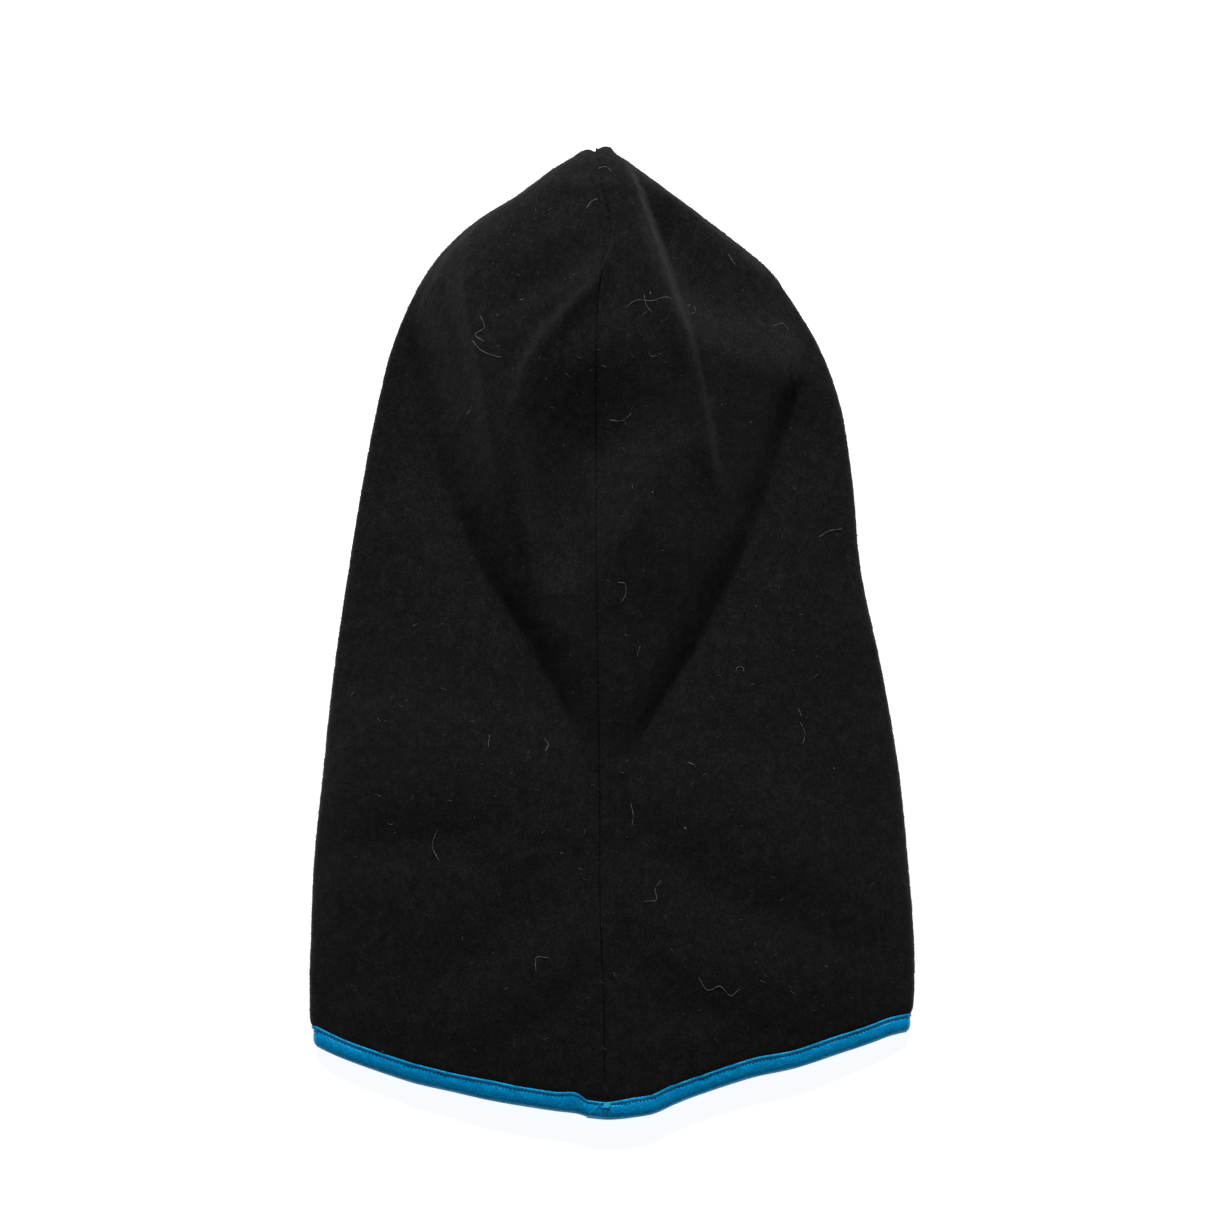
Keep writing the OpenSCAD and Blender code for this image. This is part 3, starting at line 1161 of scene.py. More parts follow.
@dataclass
class Binding:
    """A tape binding with its two rows of lockstitch, its join and its bartack.

    Attributes:
        name: what it binds, which starts its pieces' names.
        path: the edge.
        lap: length over which its end lies on its start, in the middle of the back.
        pitch: length of a stitch.
        flat: width and length of the tape laid flat, in metres; not used.
    """

    name: str
    path: EdgePath
    flat: tuple[float, float]
    fold: TapeFold = TapeFold()
    lap: float = 9.0
    pitch: float = 1.64
    step: float = 0.5
    seed: int = 31

    def ripple(self, at: Array, across: Array, outside: Array) -> Array:
        """How far the tape's face stands off its plain section: puckers between the stitches,
        slanting ripples and slow waves.

        Args:
            at: lengths along the edge.
            across: distances across.
            outside: 1 on the outer leaf and 0 on the inner.

        Returns:
            Distances to add to the section's own.
        """
        row = np.exp(-(((across - self.fold.row) / 0.9) ** 2))
        count = int(self.path.length / self.pitch)
        phase = 2 * np.pi * at * count / self.path.length
        pucker = row * 0.16 * np.cos(phase)
        near = 1 + 2.2 * np.exp(-(((np.mod(at, self.path.length) - self.lap / 2) / 6) ** 2))
        slant = 0.12 * near * value_noise(at + 0.8 * across, across * 0.5, 2.3, self.seed)
        wave = 0.14 * value_noise(at, across * 0.6, 9.0, self.seed + 1)
        return (pucker + (slant + wave) * np.sin(np.pi * np.clip(across / 8, 0, 1))) * outside

    def tape(self) -> tuple[Array, Array, Array, Array]:
        """The tape's points, quads, triangles and map: its section carried along the edge, one
        lap further than all the way round, with the end raised over the start.

        Returns:
            Points, quads, triangles, and the map's two values for each point, in metres.
        """
        total = self.path.length + self.lap
        at = np.linspace(0.0, total, int(total / self.step))[:, None]
        across, off = self.fold.ring()
        ends = ease((at - self.path.length + 14) / 9)
        start = 1 - ease((at - 6) / 16)
        outside = (off > 0) * 1.0
        lift = ease((at - self.path.length + 3.5) / 3.5) * (self.fold.thick + 0.12)
        taper = 1 + 0.05 * value_noise(at, 0 * at, 16.0, self.seed + 2)
        share = across[None] / self.fold.width
        dip = ease((at - self.path.length + 5) / 6)
        slip = (1.2 * ends - 2.4 * dip) * np.clip(share, 0.25, 1) - 1.7 * start * np.clip(share, 0.5, 1)
        acr = across[None] * taper + slip
        acr, offs = np.broadcast_arrays(acr, off[None] + self.ripple(at, across[None], outside))
        offs = offs + lift * np.where(off > 0, 1.0, 0.4)
        points, normal, _ = self.path.frame(np.mod(at, self.path.length) + 0 * acr, acr)
        points = points + normal * offs[..., None]
        points[..., 2] = np.maximum(points[..., 2], 0.03)
        rows, cols = acr.shape
        fan = np.arange(cols // 2 - 1)
        cap = np.stack([fan, fan + 1, cols - 3 - fan, cols - 2 - fan], axis=1)
        quads = np.concatenate(
            [quads_of_grid(rows, cols, wrap=True), cap[:, ::-1], cap + (rows - 1) * cols]
        )
        close = np.array([[cols - 1, 0, cols - 2]])
        tris = np.concatenate([close[:, ::-1], close + (rows - 1) * cols])
        around = np.concatenate([[0.0], np.cumsum(np.hypot(np.diff(across), np.diff(off)))])
        uv = np.stack(np.broadcast_arrays(at, around[None]), axis=-1)
        return points.reshape(-1, 3), quads, tris, uv.reshape(-1, 2) * MM

    def stitches(self, outside: bool) -> Parts:
        """One row of stitches, each a short thread along the tape that dips into it at its ends.

        Args:
            outside: whether on the outer leaf or on the inner.

        Returns:
            Points, quads and triangles.
        """
        count = int(self.path.length / self.pitch)
        at = (np.arange(count) + 0.5) * self.path.length / count
        rng = np.random.default_rng(self.seed + 7)
        across = self.fold.row + rng.uniform(-0.07, 0.07, count)
        points, normal, along = self.path.frame(at, across)
        sign = 1.0 if outside else -1.0
        off = self.fold.face_off(across) + self.fold.thick / 2 + 0.02
        slant = unit(along + 0.10 * sign * np.cross(normal, along))
        lengths = np.full(count, self.pitch * 0.62) * rng.uniform(0.92, 1.06, count)
        centres = points + normal * (sign * off)[:, None]
        return capsules(centres, slant, normal * sign, lengths, 0.27)

    def bartack(self) -> Parts:
        """Close stitches over the end of the lap, and one loose thread across the join.

        Returns:
            Points, quads and triangles.
        """
        at = np.linspace(-1.6, 1.6, 7)
        end = self.lap + at * 0.25
        across = self.fold.row - 0.6 + at * 0.5
        points, normal, along = self.path.frame(end, across)
        off = self.fold.face_off(across) + self.fold.thick * 1.6 + 0.4
        centres = points + normal * off[:, None]
        centres[:, 2] = np.maximum(centres[:, 2], 0.25)
        tack = capsules(centres, along, normal, np.full(7, 3.2), 0.2)
        t = np.linspace(0, 1, 12)
        base, out, _ = self.path.frame(1.2 + 5.0 * t, 1.6 + 4.6 * t)
        lift = self.fold.face_off(1.6 + 4.6 * t) + self.fold.thick * 1.7 + 0.35
        lift = lift + 0.3 * np.sin(np.pi * t)
        trail = base + out * lift[:, None]
        trail[:, 2] = np.maximum(trail[:, 2], 0.25)
        loose = tubes(trail[None], np.full((1, 12), 0.13), 5)
        return join_parts(tack, loose)

    def build(
        self, tape: bpy.types.Material, thread: bpy.types.Material, tack_thread: bpy.types.Material
    ) -> None:
        """Makes the tape, both rows of stitches and the bartack.

        Args:
            tape: the tape's finish.
            thread: the stitches' finish, darkened to paint the shade in the stitch holes.
            tack_thread: the bartack's finish, a paler copy of the stitch thread that paints the light it
                catches.
        """
        points, quads, tris, uv = self.tape()
        band = write_mesh(f"{self.name}_tape", points, quads, tris, uv)
        finish_piece(band, tape, (f"{self.name}_binding",))
        for row, outside in (("needle", True), ("bobbin", False)):
            obj = write_mesh(f"{self.name}_{row}_stitches", *self.stitches(outside))
            finish_piece(obj, thread, (f"{self.name}_{row}_thread",))
        tack = write_mesh(f"{self.name}_join_tack", *self.bartack())
        finish_piece(tack, tack_thread, (f"{self.name}_join_bartack",))


def hem_path(hood: Hood) -> EdgePath:
    """The neck's edge, from the middle of the back round by the right side; its tape keeps its width
    square to the edge, so across grows by the edge's slope.

    Args:
        hood: the hood.

    Returns:
        The path.
    """

    def surface(u: Array, across: Array) -> Array:
        """A point of the hood at a share of the way round and a distance from the cut edge.

        Args:
            u: way round, as Hood.around takes it.
            across: distances from the cut edge.

        Returns:
            The points.
        """
        x = hood.around(u, np.zeros_like(across))[..., 0]
        slope = (hood.hem_y(x + 3, True) - hood.hem_y(x - 3, True)) / 6
        fade = np.abs(np.cos(np.pi / 2 * u))
        return hood.around(u, across * np.sqrt(1 + np.minimum(np.abs(slope), 0.5) ** 2 * fade))

    return EdgePath(surface, (-0.04, 3.96))


def face_path(hood: Hood) -> EdgePath:
    """The face opening's edge, an oval that starts at its chin end.

    Args:
        hood: the hood.

    Returns:
        The path.
    """
    layout = hood.layout

    def surface(u: Array, across: Array) -> Array:
        """A point of the front at a turn round the oval and a distance out from its edge.

        Args:
            u: quarter turns round the oval.
            across: distances out from its edge.

        Returns:
            The points.
        """
        a = np.pi / 2 * u - np.pi / 2
        y = layout.face_y + (layout.face_half_h + across) * np.sin(a)
        wide = (layout.face_half_w + across) * np.cos(a)
        wide = wide * (1 + hood.face_widening * np.sin(a))
        z = np.full_like(y, hood.front_rest)
        return np.stack([hood.seam(y) + wide, y, z], axis=-1)

    return EdgePath(surface, (0.0, 4.0))


# ---- Seams, label and lint -------------------------------------------------------------------


@dataclass
class Seam:
    """The overlocked seam's threads, on the allowances inside the hood.

    Attributes:
        name: which seam.
        spans: stretches along Y that it covers.
        back: whether it joins the back, or the front.
    """

    hood: Hood
    name: str
    spans: tuple[tuple[float, float], ...]
    back: bool
    pitch: float = 3.2
    needle_pitch: float = 3.0
    face: float = 2.55
    groove: float = 0.42
    depth: float = 5.2
    radius: float = 0.16

    def line(self, y: Array) -> tuple[Array, Array]:
        """The seam's middle points at the surface, and how far down its allowances reach.

        Args:
            y: Y of each place along the seam.

        Returns:
            The points, and the reach at each.
        """
        x = self.hood.seam(y)
        if self.back:
            z = self.hood.back_z(x, y)
            e = self.hood.row_at(x, y)
            depth = self.depth
        else:
            z = np.full_like(y, self.hood.front_rest)
            e = y - self.hood.layout.y_side + self.hood.front_drop
            depth = -self.depth / 2
        firm = ease((e - 12) / 8) * ease((self.hood.rows_high - e - 4) / 14)
        return np.stack([x, y, z], axis=-1), depth * firm

    def looper(self) -> Parts:
        """The edge's zigzag: down one face, across under the cut edges and up the other.

        Returns:
            Points, quads and triangles.
        """
        down = [(-1, 0.25), (-1, 1), (-0.6, 1.12), (0.6, 1.12), (1, 1)]
        corners = np.array(down + [(1, 0.25), (1, 1.02), (0.6, 1.16), (-0.6, 1.16), (-1, 1.02)])
        parts = []
        for low, high in self.spans:
            turns = int((high - low) / self.pitch)
            k = np.arange(turns * len(corners))
            y = low + (high - low) * k / k[-1]
            base, depth = self.line(y)
            corner = corners[k % len(corners)]
            base[:, 0] += corner[:, 0] * self.face
            base[:, 2] -= corner[:, 1] * depth + np.sign(depth + 1e-9) * self.hood.thickness / 2
            parts.append(tubes(base[None], np.full((1, len(k)), self.radius), 5))
        return join_parts(*parts)

    def needle(self) -> Parts:
        """The needle's stitches, short threads drawn down into the groove between the panels, laid almost
        end to end in the darkest thread so that they also paint the shade in the groove.

        Returns:
            Points, quads and triangles.
        """
        parts = []
        for low, high in self.spans:
            y = np.arange(low + 2, high - 2, self.needle_pitch)
            base, _ = self.line(y)
            ahead, _ = self.line(y + 1.0)
            along = unit(ahead - base)
            base[:, 2] += (self.hood.thickness / 2 - self.groove) * (1.0 if self.back else -1.0)
            up = np.broadcast_to(np.array([0.0, 0.0, 1.0]), along.shape)
            # real needle thread, nearly end to end, whose near-black also paints the groove's shade
            parts.append(capsules(base, along, up, np.full(len(y), self.needle_pitch * 0.93), 0.30))
        return join_parts(*parts)

    def build(self, thread: bpy.types.Material) -> None:
        """Makes both threads.

        Args:
            thread: the threads' finish.
        """
        for kind, part in (("needle", self.needle()), ("looper", self.looper())):
            obj = write_mesh(f"{self.name}_{kind}_stitches", *part)
            finish_piece(obj, thread, (f"{self.name}_{kind}_thread",))


@dataclass
class CareLabel:
    """A blank woven label, sewn by its edge into the back seam and hanging inside the left panel."""

    hood: Hood
    width: float = 29.0
    height: float = 21.0
    y_middle: float = -137.0
    thick: float = 0.3
    start: float = 3.2

    def build(self, cloth: bpy.types.Material) -> None:
        """Makes the label: it hangs under the cloth and curls down towards its free edge, by
        0.2 + 1.6 * share^2.

        Args:
            cloth: the label's finish.
        """
        share, v = np.meshgrid(np.linspace(0, 1, 36), np.linspace(-0.5, 0.5, 24), indexing="ij")
        y = self.y_middle + v * self.height
        x = self.hood.seam(y) - self.start - share * self.width
        under = self.hood.thickness / 2 + 0.45
        sag = 0.2 + 1.6 * share**2 + 0.25 * np.sin(share * 9 + v * 2)
        z = self.hood.back_z(x, y) - under - sag
        top = np.stack([x, y, z], axis=-1).reshape(-1, 3)
        low = top - np.array([0, 0, self.thick])
        n = len(top)
        grid = np.arange(n).reshape(share.shape)
        rim = np.concatenate([grid[0, :-1], grid[:-1, -1], grid[-1, ::-1][:-1], grid[::-1, 0]])
        faces = quads_of_grid(*share.shape)
        quads = np.concatenate([faces, faces[:, ::-1] + n, strip_between(rim, rim + n)[:, ::-1]])
        obj = write_mesh("care_label_cloth", np.concatenate([top, low]), quads)
        finish_piece(obj, cloth, ("care_label",))


# Pale hairs caught on the back, each a curve of X and Y
HAIRS = (
    ((-6, 206), (-2.5, 206.8), (0.2, 204.5)),
    ((-11, 187.5), (-9, 190.6), (-6, 192)),
    ((-78, 161.5), (-76.6, 160), (-76, 158)),
    ((-62, 130), (-58, 124.5), (-53, 122), (-48.5, 121)),
    ((2.4, 22), (5.6, 21.6), (6.4, 17), (3.6, 12.2)),
    ((12.8, -6), (12, -8), (11.4, -11)),
    ((32.5, 143.6), (35.6, 145), (37.2, 142), (33.6, 140.4)),
    ((55.2, -18.4), (55.8, -15.8), (58.2, -15.6), (59, -18)),
    ((38.6, -153), (43, -159), (48, -157), (53, -161.4), (57, -158)),
    ((-33.4, -151), (-33, -144), (-27.6, -144.4)),
    ((22, -110), (19.4, -114), (20, -118.6), (14.6, -119.4)),
    ((-77, -87), (-79.4, -95), (-76, -102)),
    ((-54, -45.5), (-54.6, -51)),
    ((34, -57.6), (37.2, -59)),
    ((8.6, -76), (9.6, -81), (9.2, -86)),
    ((-64, 96), (-61.4, 99.6)),
    ((83, -34), (84.6, -37.4)),
    ((52, 168), (53.4, 165.4), (55.4, 163)),
    ((6, 143), (11, 146.4), (18, 146), (24, 147.6), (29, 145.6)),
    ((14.4, 149), (15.2, 144.6), (18, 140.4)),
    ((84, -40), (86, -45), (85, -50)),
    ((-30, -47), (-28, -50), (-29.4, -53)),
    ((72, 136), (76, 137.4), (79, 134.6)),
    ((9, 97), (5, 93.6), (-1, 94)),
    ((-58, 140), (-56, 134), (-60, 131), (-55.6, 127.6)),
    ((92, 42), (97, 45), (103, 46)),
)
# Specks of dust on the back: X, Y and length
SPECKS = (
    (-63, 12, 0.9), (-55, 82, 1.1), (17, 148, 1.0), (32.5, -86, 1.5), (-101, -185, 0.8), (18, 61, 0.9),
    (-22, -97, 0.8), (61, 92, 0.7), (-90, -30, 0.7), (98, -60, 0.8),
)


@dataclass
class Lint:
    """Hairs and specks of dust caught on the brushed face."""

    hood: Hood
    radius: float = 0.085
    # From above, a hair high on the cloth looks further out than it lies
    draw_in: float = 0.99
    loose: int = 340
    seed: int = 77

    def settle(self, xy: Array, lift: float) -> Array:
        """Lays places of the back on the cloth, lifted by a little."""
        z = self.hood.back_z(xy[..., 0], xy[..., 1]) + self.hood.thickness / 2 + lift
        return np.concatenate([xy, z[..., None]], axis=-1)

    def build(self, material: bpy.types.Material) -> None:
        """Makes the hairs, the specks and some scattered short fibres.

        Args:
            material: the fibres' finish.
        """
        rng = np.random.default_rng(self.seed)
        ends = np.array([0.35, 0.8] + [1.0] * 14 + [0.8, 0.35])
        hairs = [curve_through(h, 18) for h in HAIRS]
        paths = self.settle(self.draw_in * np.array(hairs), 0.28)
        paths[..., 2] += 0.25 * np.sin(np.linspace(0, 3 * np.pi, 18)) ** 2
        spots = np.array([s[:2] for s in SPECKS])
        y = rng.uniform(-185, 190, self.loose)
        x = rng.uniform(-1, 1, self.loose) * (118 - 0.45 * np.maximum(y - 20, 0))
        spots = np.concatenate([spots, np.stack([x, y], axis=1)])
        lengths = np.concatenate([[s[2] for s in SPECKS], 0.5 + 2.6 * rng.random(self.loose) ** 2])
        angle = rng.uniform(0, np.pi, len(spots))[:, None]
        t = np.linspace(-0.5, 0.5, 6)[None]
        bend = rng.uniform(-0.8, 0.8, len(spots))[:, None]
        dx = lengths[:, None] * (t * np.cos(angle) - bend * t**2 * np.sin(angle))
        dy = lengths[:, None] * (t * np.sin(angle) + bend * t**2 * np.cos(angle))
        short = self.settle(spots[:, None] + np.stack([dx, dy], axis=-1), 0.2)
        thin = np.concatenate([np.full(len(SPECKS), 0.16), rng.uniform(0.025, 0.06, self.loose)])
        parts = join_parts(
            tubes(paths, np.broadcast_to(ends * self.radius, paths.shape[:2]), 5),
            tubes(short, thin[:, None] * np.array([[0.4, 0.9, 1, 1, 0.9, 0.4]]), 4),
        )
        obj = write_mesh("lint", *parts)
        finish_piece(obj, material)


@dataclass
class Nap:
    """Short fibres that stand out of the brushed face, most of them round the outline."""

    hood: Hood
    rim_count: int = 6400
    top_count: int = 2400
    radius: float = 0.06
    seed: int = 91

    def build(self, material: bpy.types.Material) -> None:
        """Makes the fibres: each leans at random from the cloth's normal and curls over.

        Args:
            material: the fibres' finish.
        """
        rng = np.random.default_rng(self.seed)
        n = self.rim_count + self.top_count
        side_fold = np.where(rng.random(self.rim_count) < 0.5, 1.0, 3.0)
        rim_u = side_fold + rng.normal(0, 0.07, self.rim_count)
        u = np.concatenate([rim_u, rng.uniform(-1, 1, self.top_count)])
        high = self.hood.rows_high
        rim_e = 10 + (high - 10.5) * rng.random(self.rim_count) ** 0.8
        e = np.concatenate([rim_e, rng.uniform(12, high - 4, self.top_count)])
        base = self.hood.around(u, e)
        along = unit(self.hood.around(u + 0.004, e) - self.hood.around(u - 0.004, e))
        up = unit(self.hood.around(u, e + 0.5) - self.hood.around(u, e - 0.5))
        normal = unit(np.cross(along, up))
        lean = unit(normal + 0.7 * rng.normal(size=(n, 3)))
        curl = unit(np.cross(normal, rng.normal(size=(n, 3))))
        length = rng.uniform(0.4, 1.5, n)[:, None]
        root = base + normal * (self.hood.thickness / 2 - 0.1)
        paths = np.stack(
            [root, root + lean * length * 0.6, root + (lean * 0.8 + curl * 0.5) * length], axis=1
        )
        paths[..., 2] = np.maximum(paths[..., 2], 0.1)
        radii = self.radius * np.broadcast_to(np.array([1.0, 0.8, 0.35]), (n, 3))
        obj = write_mesh("nap", *tubes(paths, radii, 3))
        finish_piece(obj, material)


# ---- Materials -------------------------------------------------------------------------------


def socket(
    group: bpy.types.NodeTree, name: str, kind: str, is_output: bool, value: Optional[float] = None
) -> None:
    """Adds a socket to a node group, with a default where one is given.

    Args:
        group: the node group.
        name: the socket's name.
        kind: its type.
        is_output: whether it's an output or an input.
        value: its default.
    """
    item = group.interface.new_socket(
        name=name, in_out="OUTPUT" if is_output else "INPUT", socket_type=kind
    )
    if value is not None:
        item.default_value = value


def new_node(tree: bpy.types.NodeTree, kind: str, **settings: object) -> bpy.types.Node:
    """Adds a node, sets its properties, and sets inputs given by name with spaces as underscores.

    Args:
        tree: the node tree.
        kind: the node's type.
        settings: properties and inputs, by name.

    Returns:
        The new node.
    """
    node = tree.nodes.new(kind)
    for key, value in settings.items():
        if hasattr(node, key):
            setattr(node, key, value)
        else:
            node.inputs[key.replace("_", " ")].default_value = value
    return node


def mottle_group() -> bpy.types.NodeTree:
    """Uneven cloth tone and relief, shared by the fleece, the tape and the label.

    Tone is share * fine noise + (1 - share) * coarse noise; relief is the same sum.

    Returns:
        The node group.
    """
    group = bpy.data.node_groups.new("cloth_mottle", "ShaderNodeTree")
    socket(group, "Vector", "NodeSocketVector", False)
    socket(group, "Fine", "NodeSocketFloat", False, 900.0)
    socket(group, "Coarse", "NodeSocketFloat", False, 200.0)
    socket(group, "Share", "NodeSocketFloat", False, 0.55)
    socket(group, "Tone", "NodeSocketFloat", True)
    start, end = group.nodes.new("NodeGroupInput"), group.nodes.new("NodeGroupOutput")
    noises = []
    for name, detail in (("Fine", 3.0), ("Coarse", 4.0)):
        noise = new_node(group, "ShaderNodeTexNoise", Detail=detail, Roughness=0.6)
        group.links.new(start.outputs["Vector"], noise.inputs["Vector"])
        group.links.new(start.outputs[name], noise.inputs["Scale"])
        noises.append(noise)
    mix = new_node(group, "ShaderNodeMix", data_type="FLOAT")
    group.links.new(start.outputs["Share"], mix.inputs["Factor"])
    group.links.new(noises[1].outputs["Fac"], mix.inputs["A"])
    group.links.new(noises[0].outputs["Fac"], mix.inputs["B"])
    group.links.new(mix.outputs["Result"], end.inputs["Tone"])
    return group


@dataclass
class Dresser:
    """Starts a material with a shader, a coordinate source and the shared mottle."""

    name: str
    mottle: bpy.types.NodeTree
    source: str = "Object"
    stretch: tuple[float, float, float] = (1.0, 1.0, 1.0)
    tree: bpy.types.NodeTree = field(init=False)

    def __post_init__(self) -> None:
        """Makes the material, its coordinates and its stretch."""
        self.material = bpy.data.materials.new(self.name)
        self.material.use_nodes = True
        self.tree = self.material.node_tree
        self.shader = self.tree.nodes["Principled BSDF"]
        coords = new_node(self.tree, "ShaderNodeTexCoord")
        self.vector = new_node(self.tree, "ShaderNodeMapping", Scale=self.stretch)
        self.tree.links.new(coords.outputs[self.source], self.vector.inputs["Vector"])

    def tone(self, fine: float, coarse: float, share: float) -> bpy.types.NodeSocket:
        """Places the mottle group and returns its tone.

        Args:
            fine: scale of the fine noise.
            coarse: scale of the coarse noise.
            share: the fine noise's share.

        Returns:
            The tone's socket.
        """
        node = self.tree.nodes.new("ShaderNodeGroup")
        node.node_tree = self.mottle
        for key, value in (("Fine", fine), ("Coarse", coarse), ("Share", share)):
            node.inputs[key].default_value = value
        self.tree.links.new(self.vector.outputs["Vector"], node.inputs["Vector"])
        return node.outputs["Tone"]

    def ramp(
        self, tone: bpy.types.NodeSocket, stops: Sequence[tuple[float, Colour]]
    ) -> bpy.types.NodeSocket:
        """Turns a tone into a colour through a ramp of stops.

        Args:
            tone: the tone's socket.
            stops: positions and their colours.

        Returns:
            The colour's socket.
        """
        node = new_node(self.tree, "ShaderNodeValToRGB")
        elements = node.color_ramp.elements
        while len(elements) < len(stops):
            elements.new(0.5)
        for element, (position, colour) in zip(elements, stops):
            element.position = position
            element.color = colour
        self.tree.links.new(tone, node.inputs["Fac"])
        return node.outputs["Color"]

    def colour(self, value: bpy.types.NodeSocket) -> None:
        """Sends a colour to the shader."""
        self.tree.links.new(value, self.shader.inputs["Base Color"])

    def relief(self, height: bpy.types.NodeSocket, strength: float, distance: float) -> None:
        """Bumps the shader's normal.

        Args:
            height: the height's socket.
            strength: the bump's strength.
            distance: the bump's depth, in metres.
        """
        bump = new_node(self.tree, "ShaderNodeBump", Strength=strength, Distance=distance)
        self.tree.links.new(height, bump.inputs["Height"])
        self.tree.links.new(bump.outputs["Normal"], self.shader.inputs["Normal"])

    def sum(
        self, a: bpy.types.NodeSocket, b: bpy.types.NodeSocket, share: float
    ) -> bpy.types.NodeSocket:
        """a + share * b.

        Args:
            a: the first socket.
            b: the second socket.
            share: what the second is multiplied by.

        Returns:
            The sum's socket.
        """
        node = new_node(self.tree, "ShaderNodeMath", operation="MULTIPLY_ADD")
        self.tree.links.new(b, node.inputs[0])
        node.inputs[1].default_value = share
        self.tree.links.new(a, node.inputs[2])
        return node.outputs[0]

    def fix(self, **values: object) -> bpy.types.Material:
        """Sets the shader's own sockets, and returns the finished material.

        Args:
            values: the sockets' values, by name.

        Returns:
            The finished material.
        """
        for key, value in values.items():
            self.shader.inputs[key.replace("_", " ")].default_value = value
        return self.material


@dataclass(frozen=True)
class Fleece:
    """Black brushed fleece: matt and mottled, with streaks of nap along the hood and a soft sheen."""

    mottle: bpy.types.NodeTree
    dark: Colour = (0.0062, 0.0058, 0.0059, 1)
    middle: Colour = (0.0098, 0.0093, 0.0095, 1)
    pale: Colour = (0.0190, 0.0183, 0.0186, 1)
    sheen: float = 0.055

    def build(self) -> bpy.types.Material:
        """Mottle stretched along Y gives the tone, and with a finer noise the relief.

        Returns:
            The material.
        """
        dress = Dresser("black_fleece", self.mottle, stretch=(1.0, 0.7, 1.0))
        tone = dress.tone(1150.0, 240.0, 0.6)
        grain = dress.tone(2300.0, 620.0, 0.45)
        mixed = dress.sum(tone, grain, 0.5)
        dress.colour(dress.ramp(mixed, ((0.60, self.dark), (0.75, self.middle), (0.93, self.pale))))
        dress.relief(mixed, 0.75, 0.0007)
        return dress.fix(
            Roughness=1.0,
            Specular_IOR_Level=0.06,
            Sheen_Weight=self.sheen,
            Sheen_Roughness=0.5,
            Sheen_Tint=(0.85, 0.85, 0.85, 1),
        )


@dataclass(frozen=True)
class SatinTape:
    """Blue satin tape: fine ribs across, streaks along, and a soft gloss."""

    mottle: bpy.types.NodeTree
    deep: Colour = (0.0, 0.12, 0.325, 1)
    middle: Colour = (0.0, 0.235, 0.55, 1)
    bright: Colour = (0.0, 0.45, 0.86, 1)

    def build(self) -> bpy.types.Material:
        """Mottle drawn out along the tape's own map gives the streaks, a wave across it the ribs.

        Returns:
            The material.
        """
        dress = Dresser("blue_tape", self.mottle, "UV", (0.3, 1.0, 1.0))
        tone = dress.tone(2400.0, 700.0, 0.7)
        dress.colour(dress.ramp(tone, ((0.36, self.deep), (0.5, self.middle), (0.66, self.bright))))
        ribs = new_node(
            dress.tree, "ShaderNodeTexWave", bands_direction="X", Scale=620.0, Distortion=0.6
        )
        dress.tree.links.new(dress.vector.outputs["Vector"], ribs.inputs["Vector"])
        dress.relief(dress.sum(tone, ribs.outputs["Fac"], 0.35), 0.35, 0.00025)
        return dress.fix(
            Roughness=0.33,
            Specular_IOR_Level=0.6,
            Specular_Tint=(0.12, 0.78, 1.0, 1),
            Sheen_Weight=0.04,
            Sheen_Roughness=0.35,
            Sheen_Tint=(0.0, 0.6, 1.0, 1),
        )


@dataclass(frozen=True)
class SewingThread:
    """Twisted polyester thread of one colour."""

    mottle: bpy.types.NodeTree
    name: str
    dark: Colour
    pale: Colour

    def build(self) -> bpy.types.Material:
        """Slanting bands of a wave give the twist.

        Returns:
            The material.
        """
        dress = Dresser(self.name, self.mottle)
        twist = new_node(
            dress.tree, "ShaderNodeTexWave", bands_direction="DIAGONAL", Scale=900.0, Distortion=1.5
        )
        dress.tree.links.new(dress.vector.outputs["Vector"], twist.inputs["Vector"])
        mixed = dress.sum(twist.outputs["Fac"], dress.tone(1500.0, 500.0, 0.5), 0.4)
        dress.colour(dress.ramp(mixed, ((0.2, self.dark), (1.0, self.pale))))
        dress.relief(mixed, 0.5, 0.0001)
        return dress.fix(Roughness=0.6, Specular_IOR_Level=0.12)


# Name of each thread, its dark and its pale colour
THREADS = (
    # painted shade: the stitch thread is darker than the tape, for the shade in its stitch holes
    ("blue", (0.0, 0.04, 0.11, 1), (0.0, 0.12, 0.28, 1)),
    # painted highlight: the bartack's paler copy of the same thread, for the light that it catches
    ("lit_blue", (0.0, 0.30, 0.62, 1), (0.03, 0.58, 0.92, 1)),
    # painted shade: the black thread is darker than the fleece, partly for the shade in the seam's groove
    ("black", (0.0016, 0.0016, 0.0016, 1), (0.005, 0.005, 0.005, 1)),
)


@dataclass(frozen=True)
class LabelCloth:
    """White woven label cloth, with a fine plain weave."""

    mottle: bpy.types.NodeTree
    low: Colour = (0.60, 0.60, 0.58, 1)
    high: Colour = (0.80, 0.80, 0.78, 1)

    def build(self) -> bpy.types.Material:
        """Two crossed waves give the weave.

        Returns:
            The material.
        """
        dress = Dresser("white_label", self.mottle)
        waves = [
            new_node(dress.tree, "ShaderNodeTexWave", bands_direction=d, Scale=800.0) for d in "XY"
        ]
        for wave in waves:
            dress.tree.links.new(dress.vector.outputs["Vector"], wave.inputs["Vector"])
        weave = dress.sum(waves[0].outputs["Fac"], waves[1].outputs["Fac"], 1.0)
        mixed = dress.sum(weave, dress.tone(900.0, 200.0, 0.5), 0.8)
        dress.colour(dress.ramp(mixed, ((0.5, self.low), (1.0, self.high))))
        dress.relief(mixed, 0.3, 0.0001)
        return dress.fix(Roughness=0.6, Sheen_Weight=0.1)


